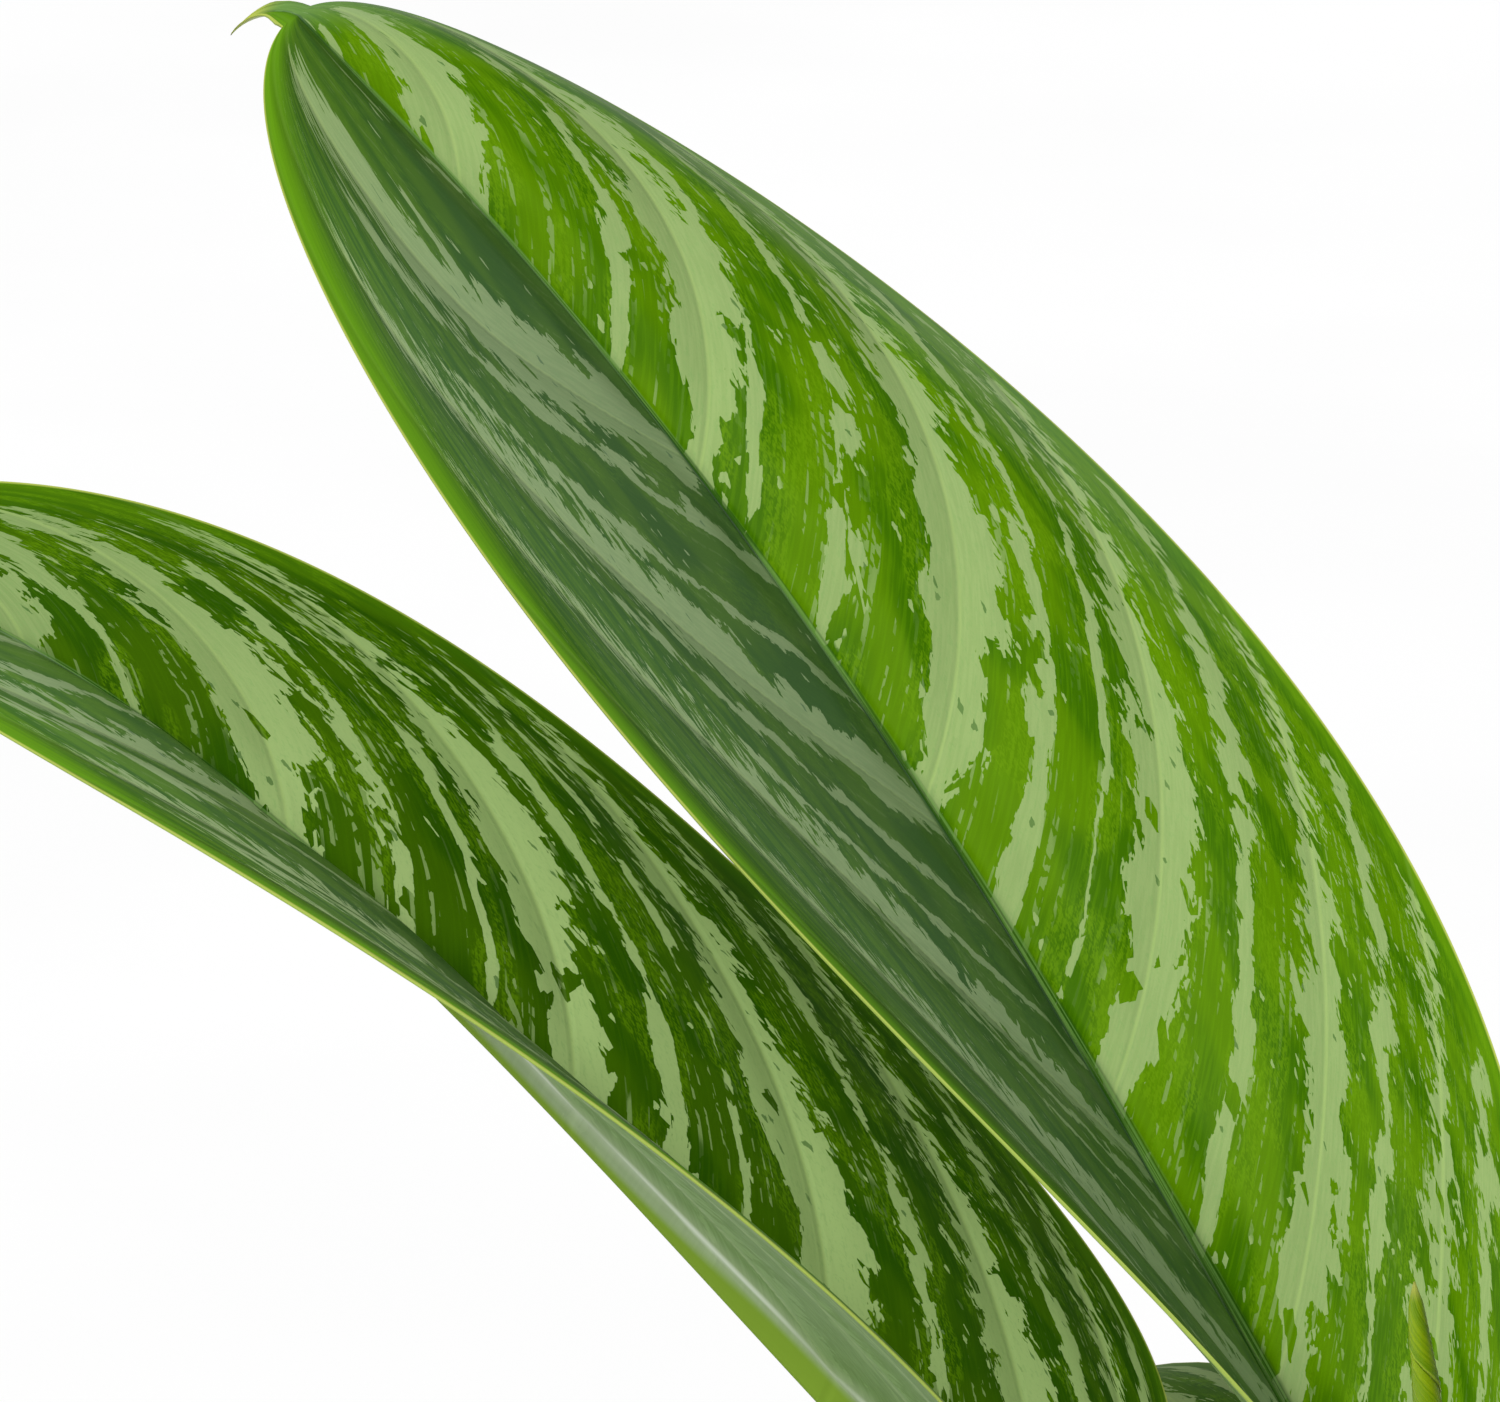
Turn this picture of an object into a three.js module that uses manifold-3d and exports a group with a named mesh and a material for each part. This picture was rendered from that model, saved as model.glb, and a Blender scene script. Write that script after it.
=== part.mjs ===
import * as THREE from 'three';
import { mergeVertices } from 'three/addons/utils/BufferGeometryUtils.js';
import Module from 'manifold-3d';

// A striped Chinese evergreen in a plain clay pot.
// Millimetres, +Z up, the origin at the middle of the pot's underside.
// Seen along +Y, the two large blades 1a and 2a arch away to the left.

// Solids that meet stand this far apart.
const SEAT = 0.3;

// Pot: a turned, tapered body with a rim band and drain holes round a solid middle.
const POT_HEIGHT = 190;
const POT_FOOT_RADIUS = 74;
const POT_BODY_RADIUS = 98;
const POT_RIM_RADIUS = 107;
const POT_RIM_BAND = 42;
const POT_WALL = 7;
const POT_FLOOR = 9;
const POT_EDGE = 2.5;
const POT_SIDES = 40;
const DRAIN_RADIUS = 6;
const DRAIN_CIRCLE = 42;
const DRAIN_COUNT = 4;

// Soil: filled to a little below the rim, gently humped and crumbly.
const SOIL_LEVEL = 164;
const SOIL_HUMP = 5;
const SOIL_CRUMB = 1.6;
const CRUMB_SPAN = 5;
const SOIL_RINGS = 5;
const SOIL_SIDES = 30;

// Canes: ringed green stems, sunk into the soil and leaning outwards.
const CANE_FOOT = 96;
const CANE_RADIUS = 8.5;
const CANE_TOP_RADIUS = 6;
const CANE_RING = 0.8;
const CANE_RING_PITCH = 17;
const LOWEST_RING = 182;
const CANE_SIDES = 8;
const CANE_ROWS = 16;

// Petioles: stout at the sheath that clasps the cane, slender below the blade.
const SHEATH_RADIUS = 6.2;
const PETIOLE_MIDDLE_RADIUS = 3.6;
const PETIOLE_TOP_RADIUS = 2.7;
const LOWEST_PETIOLE = 0.74;
const HIGHEST_PETIOLE = 0.94;
const PETIOLE_SIDES = 6;
const PETIOLE_ROWS = 7;

// Blades: thickness at the margin and at the midrib's keel, and the drip tip.
const MARGIN_THICKNESS = 0.8;
const KEEL_THICKNESS = 4.4;
const KEEL_TIP_THICKNESS = 1.0;
const KEEL_HALF = 3.2;
const STALK_HALF = 2.4;
const DRIP_LENGTH = 11;
const DRIP_DROP = 28;
const DRIP_BEND = 62;
const DRIP_HALVES = [2.2, 0.4];
const DRIP_FOLD = 0.4;
const DRIP_ROWS = 2;
const LARGE_ROWS = 16;
const LARGE_COLUMNS = [-1, -0.72, -0.4, -0.08, 0, 0.08, 0.4, 0.72, 1];
const BLADE_ROWS = 10;
const BLADE_COLUMNS = [-1, -0.62, -0.22, 0, 0.22, 0.62, 1];

// Each stem: where its cane leaves the pot's middle, and where the cane ends.
const STEMS = {
  1: { foot: [-22, -36], top: [-29, -39, 258] },
  2: { foot: [-38, 22], top: [-47, 27, 250] },
  3: { foot: [6, 42], top: [6, 48, 252] },
  4: { foot: [42, 6], top: [49, 8, 250] },
  5: { foot: [22, -42], top: [24, -50, 244] },
};

// The two large blades of the picture, by their midrib's four control points.
// fold and curl are the angles in degrees of each half at base, middle and tip.
const LARGE_BLADES = {
  '1a': {
    midrib: [[-60, -5, 386], [-92, 35, 437], [-133, 100, 503], [-201, 125, 565]],
    half: 49, fullness: [0.47, 0.49], roll: [9, 13, 39],
    fold: { far: [50, 32, 25], near: [50, 32, 27] },
    curl: { far: [-10, 28, 90], near: [-30, 8, 20] },
  },
  '2a': {
    midrib: [[-97, 35, 375], [-142, 50, 408], [-211, 60, 510], [-272, 70, 507]],
    half: 48, fullness: [0.47, 1.0], roll: [3, 8, 48],
    fold: { far: [40, 31, 30], near: [40, 27, 36] },
    curl: { far: [14, 12, 5], near: [7, 1, 54] },
  },
};

// The other blades: compass direction, distance out from the cane, height of the
// blade's base, length, slope at the base and how far the blade nods, in degrees.
const BLADES = {
  '1b': [-118, 58, 345, 235, 42, 62],
  '1c': [-80, 38, 380, 240, 58, 60],
  '1d': [-160, 72, 296, 215, 24, 48],
  '2b': [186, 70, 288, 220, 20, 44],
  '2c': [152, 62, 262, 200, 12, 40],
  '3a': [80, 40, 398, 250, 62, 58],
  '3b': [48, 62, 345, 236, 42, 62],
  '3c': [135, 56, 318, 225, 34, 84],
  '3d': [108, 60, 282, 205, 16, 46],
  '3e': [16, 16, 446, 238, 78, 62],
  '4a': [6, 62, 340, 238, 38, 60],
  '4b': [36, 40, 402, 250, 62, 60],
  '4c': [-34, 66, 300, 222, 24, 50],
  '4d': [-6, 32, 420, 246, 66, 56],
  '4e': [225, 26, 404, 210, 80, 32],
  '5a': [-52, 52, 376, 240, 50, 64],
  '5b': [-98, 66, 292, 215, 22, 50],
  '5c': [-22, 74, 252, 196, 10, 36],
  '5d': [-74, 24, 422, 236, 72, 52],
};

// How the other blades are shaped: shares of the length for the half width, angles in
// degrees, and each with the spread that a seeded draw adds to it.
const SHAPE = {
  seed: 41,
  half: 0.178, halfSpread: 0.014,
  fold: 30, foldSpread: 10, foldAtBase: 12, foldAtTip: -8,
  curl: 20, curlSpread: 20, curlAtTip: 10,
  rollSpread: 16, turnSpread: 14,
  fullness: [0.5, 0.66],
};

// Rolled young leaves at the cane tips: the tip of each, and its thickest radius.
const SPEARS = {
  1: { tip: [-65.7, -45, 448], lean: [-6, 0, 60], radius: 5 },
  3: { tip: [-6, 72, 462], lean: [-3, 8, 80], radius: 6 },
  4: { tip: [42, 28, 442], lean: [-3, 7, 70], radius: 5.5 },
};
const SPEAR_START = 0.2;
const SPEAR_TAPER = 0.28;
const SPEAR_POINT = 0.35;
const SPEAR_SIDES = 8;
const SPEAR_ROWS = 10;
const SPEAR_RISE = 60;

const radians = THREE.MathUtils.degToRad;
const UP = new THREE.Vector3(0, 0, 1);
const EAST = new THREE.Vector3(1, 0, 0);
const wasm = await Module();
wasm.setup();

function material(colour, roughness) {
  return new THREE.MeshStandardMaterial({ color: colour, roughness, metalness: 0 });
}

function seededRandom(seed) {
  let state = seed;
  return () => {
    state = (Math.imul(state, 1664525) + 1013904223) >>> 0;
    return state / 4294967296;
  };
}

// A closed geometry with its shared corners merged and its sliver faces dropped.
function mergedSolid(geometry) {
  const bare = new THREE.BufferGeometry();
  bare.setAttribute('position', geometry.getAttribute('position').clone());
  if (geometry.index) bare.setIndex(geometry.index.clone());
  const merged = mergeVertices(bare, 1e-3);
  const corners = Array.from(merged.index.array);
  const kept = [];
  for (let i = 0; i < corners.length; i += 3) {
    const [a, b, c] = corners.slice(i, i + 3);
    if (a !== b && b !== c && c !== a) kept.push(a, b, c);
  }
  merged.setIndex(kept);
  return merged;
}

function toManifold(geometry) {
  const solid = mergedSolid(geometry);
  return new wasm.Manifold(new wasm.Mesh({
    numProp: 3,
    vertProperties: Float32Array.from(solid.getAttribute('position').array),
    triVerts: Uint32Array.from(solid.index.array),
  }));
}

function fromManifold(solid) {
  const mesh = solid.getMesh();
  const geometry = new THREE.BufferGeometry();
  const corners = Float32Array.from(mesh.vertProperties);
  geometry.setAttribute('position', new THREE.BufferAttribute(corners, 3));
  geometry.setIndex(Array.from(mesh.triVerts));
  return geometry;
}

// A turned solid about +Z from [radius, height] points that start and end on the axis.
function turned(profile, sides) {
  const points = profile.map(([radius, height]) => new THREE.Vector2(radius, height));
  return new THREE.LatheGeometry(points, sides).rotateX(Math.PI / 2);
}

// A round bar bent along a curve. radiusAt gives its radius from 0 at the foot to 1.
function bentBar(curve, radiusAt, sides, rows, side) {
  const bar = new THREE.CylinderGeometry(1, 1, 1, sides, rows);
  const position = bar.getAttribute('position');
  for (let i = 0; i < position.count; i += 1) {
    const t = THREE.MathUtils.clamp(position.getY(i) + 0.5, 0, 1);
    const along = curve.getTangent(t);
    const across = side.clone().addScaledVector(along, -side.dot(along)).normalize();
    const third = new THREE.Vector3().crossVectors(across, along);
    const radius = radiusAt(t);
    const point = curve.getPoint(t);
    point.addScaledVector(across, position.getX(i) * radius);
    point.addScaledVector(third, position.getZ(i) * radius);
    position.setXYZ(i, point.x, point.y, point.z);
  }
  return bar;
}

// The quadratic through a base, a middle and a tip value.
function through([base, middle, tip], u) {
  return base * (1 - u) * (1 - 2 * u) + 4 * middle * u * (1 - u) + tip * u * (2 * u - 1);
}

function halfWidth(leaf, u) {
  const [base, tip] = leaf.fullness;
  const widest = base / (base + tip);
  const peak = widest ** base * (1 - widest) ** tip;
  return Math.hypot(leaf.half * u ** base * (1 - u) ** tip / peak, STALK_HALF * (1 - u));
}

// The midrib's place at u, with the blade's own across and upward directions there.
function midribFrame(leaf, u) {
  const place = leaf.midrib.getPoint(u);
  const along = leaf.midrib.getTangent(u);
  const level = new THREE.Vector3().crossVectors(along, UP).normalize();
  const raised = new THREE.Vector3().crossVectors(level, along);
  const roll = radians(through(leaf.roll, u));
  const across = level.clone().multiplyScalar(Math.cos(roll)).addScaledVector(raised, Math.sin(roll));
  const upward = raised.multiplyScalar(Math.cos(roll)).addScaledVector(level, -Math.sin(roll));
  return { place, along, across, upward };
}

// A point of the upper face, and the direction that its thickness is laid off along.
// v runs from -1 at the near margin over 0 at the midrib to 1 at the far margin.
function bladePoint(leaf, u, v) {
  const { place, across, upward } = midribFrame(leaf, u);
  const half = halfWidth(leaf, u);
  const side = v < 0 ? 'near' : 'far';
  const fold = radians(through(leaf.fold[side], u));
  const curl = radians(through(leaf.curl[side], u)) + 1e-6;
  const reach = Math.abs(v);
  const slope = fold - curl * reach;
  const out = Math.sign(v) * half * (Math.sin(fold) - Math.sin(slope)) / curl;
  const rise = half * (Math.cos(slope) - Math.cos(fold)) / curl;
  const point = place.clone().addScaledVector(across, out).addScaledVector(upward, rise);
  const tilt = v === 0 ? 0 : slope;
  const facing = upward.clone().multiplyScalar(Math.cos(tilt));
  facing.addScaledVector(across, -Math.sign(v) * Math.sin(tilt));
  return { point, facing, offset: reach * half };
}

function thickness(u, offset) {
  const keel = THREE.MathUtils.lerp(KEEL_THICKNESS, KEEL_TIP_THICKNESS, u ** 0.7);
  const hump = Math.exp(-((offset / KEEL_HALF) ** 2));
  return MARGIN_THICKNESS + (keel - MARGIN_THICKNESS) * hump;
}

// A row of the drip tip: the midrib's end, bending down in an arc and narrowing.
function dripRow(leaf, columns, step) {
  const { place, along, across, upward } = midribFrame(leaf, 1);
  const level = new THREE.Vector3(along.x, along.y, 0).normalize();
  const start = Math.asin(along.z) - radians(DRIP_DROP);
  const bend = radians(DRIP_BEND);
  const arc = DRIP_LENGTH / bend;
  place.addScaledVector(level, arc * (Math.sin(start) - Math.sin(start - bend * step)));
  place.addScaledVector(UP, arc * (Math.cos(start - bend * step) - Math.cos(start)));
  const half = THREE.MathUtils.lerp(...DRIP_HALVES, step);
  return columns.map((v) => {
    const top = place.clone().addScaledVector(across, v * half);
    top.addScaledVector(upward, Math.abs(v) * half * DRIP_FOLD);
    return { top, under: top.clone().addScaledVector(upward, -MARGIN_THICKNESS) };
  });
}

// A thin closed solid between two like grids, split into triangles alike on both.
function sheetSolid(rows) {
  const columns = rows[0].length;
  const corners = [];
  rows.forEach((row) => row.forEach(({ top }) => corners.push(...top.toArray())));
  rows.forEach((row) => row.forEach(({ under }) => corners.push(...under.toArray())));
  const shift = rows.length * columns;
  const faces = [];
  const quad = (a, b, c, d) => faces.push(a, b, c, a, c, d);
  for (let i = 0; i + 1 < rows.length; i += 1) {
    for (let j = 0; j + 1 < columns; j += 1) {
      const a = i * columns + j;
      const b = a + columns;
      quad(a, a + 1, b + 1, b);
      faces.push(a + shift, b + 1 + shift, a + 1 + shift, a + shift, b + shift, b + 1 + shift);
    }
    const near = i * columns;
    const far = near + columns - 1;
    quad(near, near + columns, near + columns + shift, near + shift);
    quad(far, far + shift, far + columns + shift, far + columns);
  }
  const last = (rows.length - 1) * columns;
  for (let j = 0; j + 1 < columns; j += 1) {
    quad(j, j + shift, j + 1 + shift, j + 1);
    quad(last + j, last + j + 1, last + j + 1 + shift, last + j + shift);
  }
  const geometry = new THREE.BufferGeometry();
  geometry.setAttribute('position', new THREE.Float32BufferAttribute(corners, 3));
  geometry.setIndex(faces);
  return geometry;
}

function bladeGeometry(leaf, rowCount, columns) {
  const rows = [];
  for (let i = 0; i <= rowCount; i += 1) {
    const u = 0.5 - 0.5 * Math.cos(Math.PI * i / (rowCount + 0.35));
    rows.push(columns.map((v) => {
      const { point, facing, offset } = bladePoint(leaf, u, v);
      const under = point.clone().addScaledVector(facing, -thickness(u, offset));
      return { top: point, under };
    }));
  }
  for (let k = 1; k <= DRIP_ROWS; k += 1) rows.push(dripRow(leaf, columns, k / DRIP_ROWS));
  return sheetSolid(rows);
}

function vector([x, y, z]) {
  return new THREE.Vector3(x, y, z);
}

// A blade of the rule: it leaves its base at a slope and nods towards its tip.
function ruledLeaf(stem, [direction, out, height, length, slope, nod], random) {
  const heading = radians(direction);
  const turn = radians(SHAPE.turnSpread) * (random() - 0.5);
  const [x, y] = stem.top;
  const base = new THREE.Vector3(x + out * Math.cos(heading), y + out * Math.sin(heading), height);
  const points = [base];
  for (let k = 0; k < 3; k += 1) {
    const pitch = radians(slope - nod * k / 2);
    const compass = heading + turn * k;
    const level = Math.cos(pitch);
    const step = new THREE.Vector3(level * Math.cos(compass), level * Math.sin(compass), Math.sin(pitch));
    points.push(points[k].clone().addScaledVector(step, length / 3));
  }
  const fold = SHAPE.fold + SHAPE.foldSpread * random();
  const curl = SHAPE.curl + SHAPE.curlSpread * random();
  const roll = SHAPE.rollSpread * (random() - 0.5);
  const folds = [fold + SHAPE.foldAtBase, fold, fold + SHAPE.foldAtTip];
  const curls = [0, curl, curl + SHAPE.curlAtTip];
  return {
    midrib: new THREE.CubicBezierCurve3(...points),
    half: length * (SHAPE.half + SHAPE.halfSpread * random()),
    fullness: SHAPE.fullness,
    roll: [0, roll, 1.6 * roll],
    fold: { far: folds, near: folds },
    curl: { far: curls, near: curls },
  };
}

function largeLeaf(blade) {
  return { ...blade, midrib: new THREE.CubicBezierCurve3(...blade.midrib.map(vector)) };
}

function allLeaves() {
  const random = seededRandom(SHAPE.seed);
  const leaves = {};
  for (const [name, blade] of Object.entries(LARGE_BLADES)) leaves[name] = largeLeaf(blade);
  for (const [name, row] of Object.entries(BLADES)) {
    leaves[name] = ruledLeaf(STEMS[name[0]], row, random);
  }
  return leaves;
}

function pot() {
  const bandFoot = POT_HEIGHT - POT_RIM_BAND;
  const outer = [
    [0, 0], [POT_FOOT_RADIUS - POT_EDGE, 0], [POT_FOOT_RADIUS, POT_EDGE],
    [POT_BODY_RADIUS, bandFoot - POT_EDGE], [POT_RIM_RADIUS - POT_EDGE - 1, bandFoot],
    [POT_RIM_RADIUS - 1, bandFoot + POT_EDGE], [POT_RIM_RADIUS, POT_HEIGHT - POT_EDGE],
    [POT_RIM_RADIUS - POT_EDGE, POT_HEIGHT],
  ];
  const lip = POT_RIM_RADIUS - POT_WALL - POT_EDGE;
  const inner = [
    [lip, POT_HEIGHT], [innerRadius(POT_HEIGHT - POT_EDGE), POT_HEIGHT - POT_EDGE],
    [innerRadius(POT_FLOOR), POT_FLOOR], [0, POT_FLOOR],
  ];
  let solid = toManifold(turned([...outer, ...inner], POT_SIDES));
  for (let i = 0; i < DRAIN_COUNT; i += 1) {
    const angle = 2 * Math.PI * (i + 0.5) / DRAIN_COUNT;
    const drain = new THREE.CylinderGeometry(DRAIN_RADIUS, DRAIN_RADIUS, 4 * POT_FLOOR, 16);
    drain.rotateX(Math.PI / 2);
    drain.translate(DRAIN_CIRCLE * Math.cos(angle), DRAIN_CIRCLE * Math.sin(angle), 0);
    solid = solid.subtract(toManifold(drain));
  }
  return fromManifold(solid);
}

// The pot's inner radius at a height.
function innerRadius(height) {
  const share = height / (POT_HEIGHT - POT_RIM_BAND);
  return THREE.MathUtils.lerp(POT_FOOT_RADIUS, POT_BODY_RADIUS, share) - POT_WALL;
}

// The line of a cane, from its foot in the soil to its tip.
function caneLine(stem) {
  const [x, y] = stem.foot;
  return new THREE.LineCurve3(new THREE.Vector3(x, y, CANE_FOOT), vector(stem.top));
}

function caneTaper(t) {
  return THREE.MathUtils.lerp(CANE_RADIUS, CANE_TOP_RADIUS, t);
}

// The cane's radius with the ring that each fallen leaf left.
function ringedCane(stem) {
  return (t) => {
    const height = CANE_FOOT + t * (stem.top[2] - CANE_FOOT);
    const ring = Math.max(0, Math.cos(2 * Math.PI * height / CANE_RING_PITCH));
    return caneTaper(t) + (height > LOWEST_RING ? CANE_RING * ring * ring : 0);
  };
}

function soil() {
  const low = POT_FLOOR + SEAT;
  const points = [[0, low], [innerRadius(low) - SEAT, low]];
  const edge = innerRadius(SOIL_LEVEL) - SEAT;
  for (let i = 0; i <= SOIL_RINGS; i += 1) {
    const share = 1 - i / SOIL_RINGS;
    points.push([edge * share, SOIL_LEVEL + SOIL_HUMP * (1 - share * share)]);
  }
  const bed = turned(points, SOIL_SIDES);
  const position = bed.getAttribute('position');
  for (let i = 0; i < position.count; i += 1) {
    const [x, y, z] = [position.getX(i), position.getY(i), position.getZ(i)];
    const inside = Math.hypot(x, y) < edge - 1;
    const lumps = Math.sin(x / CRUMB_SPAN) * Math.cos(y / CRUMB_SPAN) + Math.sin((x - y) / 9);
    if (z > SOIL_LEVEL - 1 && inside) position.setZ(i, z + SOIL_CRUMB * lumps);
  }
  let solid = toManifold(bed);
  for (const stem of Object.values(STEMS)) {
    const line = caneLine(stem);
    line.v1.addScaledVector(line.getTangent(0), -SEAT);
    const hole = bentBar(line, (t) => caneTaper(t) + SEAT, CANE_SIDES, 1, EAST);
    solid = solid.subtract(toManifold(hole));
  }
  return fromManifold(solid);
}

// The petiole's route: up from the cane, then over into the line of its midrib.
function petioleCurve(stem, leaf, level) {
  const cane = caneLine(stem);
  const root = cane.getPoint(level);
  const { place, along, upward } = midribFrame(leaf, 0);
  const end = place.clone().addScaledVector(upward, -KEEL_THICKNESS / 2);
  end.addScaledVector(along, -SEAT);
  const reach = 0.36 * end.distanceTo(root);
  const rise = cane.getTangent(level).multiplyScalar(reach);
  return new THREE.CubicBezierCurve3(
    root,
    root.clone().add(rise),
    end.clone().addScaledVector(along, -reach),
    end,
  );
}

function petioleRadius(t) {
  const sheath = THREE.MathUtils.smoothstep(t, 0.05, 0.45);
  const lower = THREE.MathUtils.lerp(SHEATH_RADIUS, PETIOLE_MIDDLE_RADIUS, sheath);
  const upper = THREE.MathUtils.lerp(PETIOLE_MIDDLE_RADIUS, PETIOLE_TOP_RADIUS, t);
  return t < 0.45 ? lower : Math.min(lower, upper);
}

// A cane with its petioles, grown together, and hollowed where a young leaf stands.
function stem(name, leaves) {
  const own = Object.keys(leaves).filter((leaf) => leaf[0] === name);
  const place = STEMS[name];
  let solid = toManifold(bentBar(caneLine(place), ringedCane(place), CANE_SIDES, CANE_ROWS, EAST));
  own.forEach((leaf) => {
    const base = leaves[leaf].midrib.getPoint(0);
    const rank = own.filter((other) => leaves[other].midrib.getPoint(0).z < base.z).length;
    const level = LOWEST_PETIOLE + (HIGHEST_PETIOLE - LOWEST_PETIOLE) * rank / (own.length - 1);
    const curve = petioleCurve(place, leaves[leaf], level);
    const along = leaves[leaf].midrib.getTangent(0);
    const side = new THREE.Vector3().crossVectors(along, UP).normalize();
    const bar = bentBar(curve, petioleRadius, PETIOLE_SIDES, PETIOLE_ROWS, side);
    solid = solid.add(toManifold(bar));
  });
  if (name in SPEARS) solid = solid.subtract(toManifold(spear(name, SEAT)));
  const largestFirst = solid.decompose().sort((a, b) => b.volume() - a.volume());
  return fromManifold(largestFirst[0]);
}

// A young leaf, still rolled into a spear. room widens it, for the hollow it stands in.
function spear(name, room) {
  const { tip, lean, radius } = SPEARS[name];
  const cane = caneLine(STEMS[name]);
  const along = cane.getTangent(1);
  const foot = cane.getPoint(1).addScaledVector(along, SEAT - room);
  const end = vector(tip);
  const curve = new THREE.CubicBezierCurve3(
    foot,
    foot.clone().addScaledVector(along, SPEAR_RISE),
    end.clone().sub(vector(lean)),
    end,
  );
  const swell = (t) => Math.sin(Math.PI * (SPEAR_START + (1 - SPEAR_START) * t)) ** (0.9 - 0.45 * t);
  const width = (t) => SPEAR_POINT + radius * swell(t) * (1 - SPEAR_TAPER * t) + room;
  return bentBar(curve, width, SPEAR_SIDES, SPEAR_ROWS, EAST);
}

const plant = new THREE.Group();

function addPiece(name, geometry, finish) {
  const mesh = new THREE.Mesh(mergedSolid(geometry), finish);
  mesh.name = name;
  plant.add(mesh);
}

const leaves = allLeaves();
addPiece('pot', pot(), material('#b4693f', 0.85));
addPiece('soil', soil(), material('#3a2a1e', 0.95));
for (const name of Object.keys(STEMS)) {
  addPiece(`stem_${name}`, stem(name, leaves), material('#8fae4f', 0.45));
}
for (const name of Object.keys(SPEARS)) {
  addPiece(`spear_${name}`, spear(name, 0), material('#a4be4a', 0.4));
}
for (const [name, leaf] of Object.entries(leaves)) {
  const geometry = name in LARGE_BLADES
    ? bladeGeometry(leaf, LARGE_ROWS, LARGE_COLUMNS)
    : bladeGeometry(leaf, BLADE_ROWS, BLADE_COLUMNS);
  addPiece(`blade_${name}`, geometry, material('#4b8c0f', 0.38));
}

export default plant;
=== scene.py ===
import math
import random

import bpy
import numpy as np
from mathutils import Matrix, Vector, noise


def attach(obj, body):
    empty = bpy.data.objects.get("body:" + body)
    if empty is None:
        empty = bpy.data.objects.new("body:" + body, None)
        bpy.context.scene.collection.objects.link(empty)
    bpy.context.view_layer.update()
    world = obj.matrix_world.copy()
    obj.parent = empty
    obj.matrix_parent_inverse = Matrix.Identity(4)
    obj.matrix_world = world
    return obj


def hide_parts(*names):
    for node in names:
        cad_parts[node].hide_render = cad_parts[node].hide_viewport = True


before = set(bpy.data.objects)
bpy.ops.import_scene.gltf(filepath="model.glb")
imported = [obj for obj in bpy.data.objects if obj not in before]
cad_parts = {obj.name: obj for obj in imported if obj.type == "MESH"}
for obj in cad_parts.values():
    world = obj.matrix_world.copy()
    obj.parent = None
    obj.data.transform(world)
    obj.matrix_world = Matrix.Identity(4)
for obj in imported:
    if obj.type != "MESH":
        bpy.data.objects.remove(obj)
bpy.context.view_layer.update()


# POT: a turned flower pot of fired clay, unglazed, with a thick rim band and four
# drain holes in its floor. Its wall is drawn up ring by ring, as it was thrown.
MM = 0.001
POT_SIDES = 96
POT_FOOT = 71.5
POT_FLOOR = 9.0
POT_RINGS = [
    (73.0, 0.5), (74.0, 2.2), (78.9, 30.0), (83.8, 60.0), (88.9, 90.0), (93.9, 120.0),
    (97.6, 143.5), (98.6, 146.2), (101.0, 147.4), (103.6, 148.1), (105.4, 149.4),
    (106.0, 151.5), (106.4, 168.0), (107.0, 185.5), (106.7, 188.3), (105.0, 189.8),
    (102.2, 190.0), (99.6, 189.4), (98.4, 187.2), (95.9, 173.0), (91.0, 148.0),
    (84.5, 105.0), (77.5, 60.0), (71.2, 22.0), (69.2, 12.0), (66.5, 9.4), (63.0, 9.0),
    (55.0, 9.0),
]
DRAIN_RADIUS = 6.0
DRAIN_CIRCLE = 42.0
DRAIN_ANGLES = (45, 135, 225, 315)


def pick(*pieces):
    """selects these pieces alone and makes the first of them active"""
    bpy.ops.object.select_all(action="DESELECT")
    for piece in pieces:
        piece.select_set(True)
    bpy.context.view_layer.objects.active = pieces[0]


def place_mesh(piece):
    """leaves the piece's place in its mesh, with its object at the origin"""
    pick(piece)
    bpy.ops.object.transform_apply(location=True, rotation=True, scale=True)


def open_mesh():
    """starts the work on all of the active piece's mesh"""
    bpy.ops.object.mode_set(mode="EDIT")
    bpy.ops.mesh.select_all(action="SELECT")


def close_mesh(fill=False):
    """ends that work, with all faces turned outward and the holes filled if asked"""
    bpy.ops.mesh.select_all(action="SELECT")
    if fill:
        bpy.ops.mesh.fill_holes(sides=0)
    bpy.ops.mesh.normals_make_consistent(inside=False)
    bpy.ops.object.mode_set(mode="OBJECT")


# The short words from here to new_finish draw shader nodes. They all draw into tree, the
# shader tree that is in work, and each material sets it anew.
def feed(made, sockets):
    """links or sets the inputs of a node"""
    for name, value in sockets.items():
        if isinstance(value, bpy.types.NodeSocket):
            tree.links.new(value, made.inputs[name])
        else:
            made.inputs[name].default_value = value


def node(kind, inputs=None, **settings):
    made = tree.nodes.new(kind)
    for name, value in settings.items():
        setattr(made, name, value)
    feed(made, inputs or {})
    return made


def calc(operation, *values):
    """one step of arithmetic on numbers and sockets"""
    return node("ShaderNodeMath", dict(enumerate(values)), operation=operation).outputs[0]


def plus(first, second):
    return calc("ADD", first, second)


def less(first, second):
    return calc("SUBTRACT", first, second)


def times(first, *others):
    for other in others:
        first = calc("MULTIPLY", first, other)
    return first


def larger(first, second):
    return calc("MAXIMUM", first, second)


def rise(value, low, high, start=0.0, end=1.0):
    """a smooth change from start to end while value goes from low to high"""
    sockets = {"Value": value, "From Min": low, "From Max": high, "To Min": start, "To Max": end}
    return node("ShaderNodeMapRange", sockets, interpolation_type="SMOOTHSTEP").outputs[0]


def blend(share, first, second):
    """one colour over another"""
    return node("ShaderNodeMix", {0: share, 6: first, 7: second}, data_type="RGBA").outputs[2]


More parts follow.
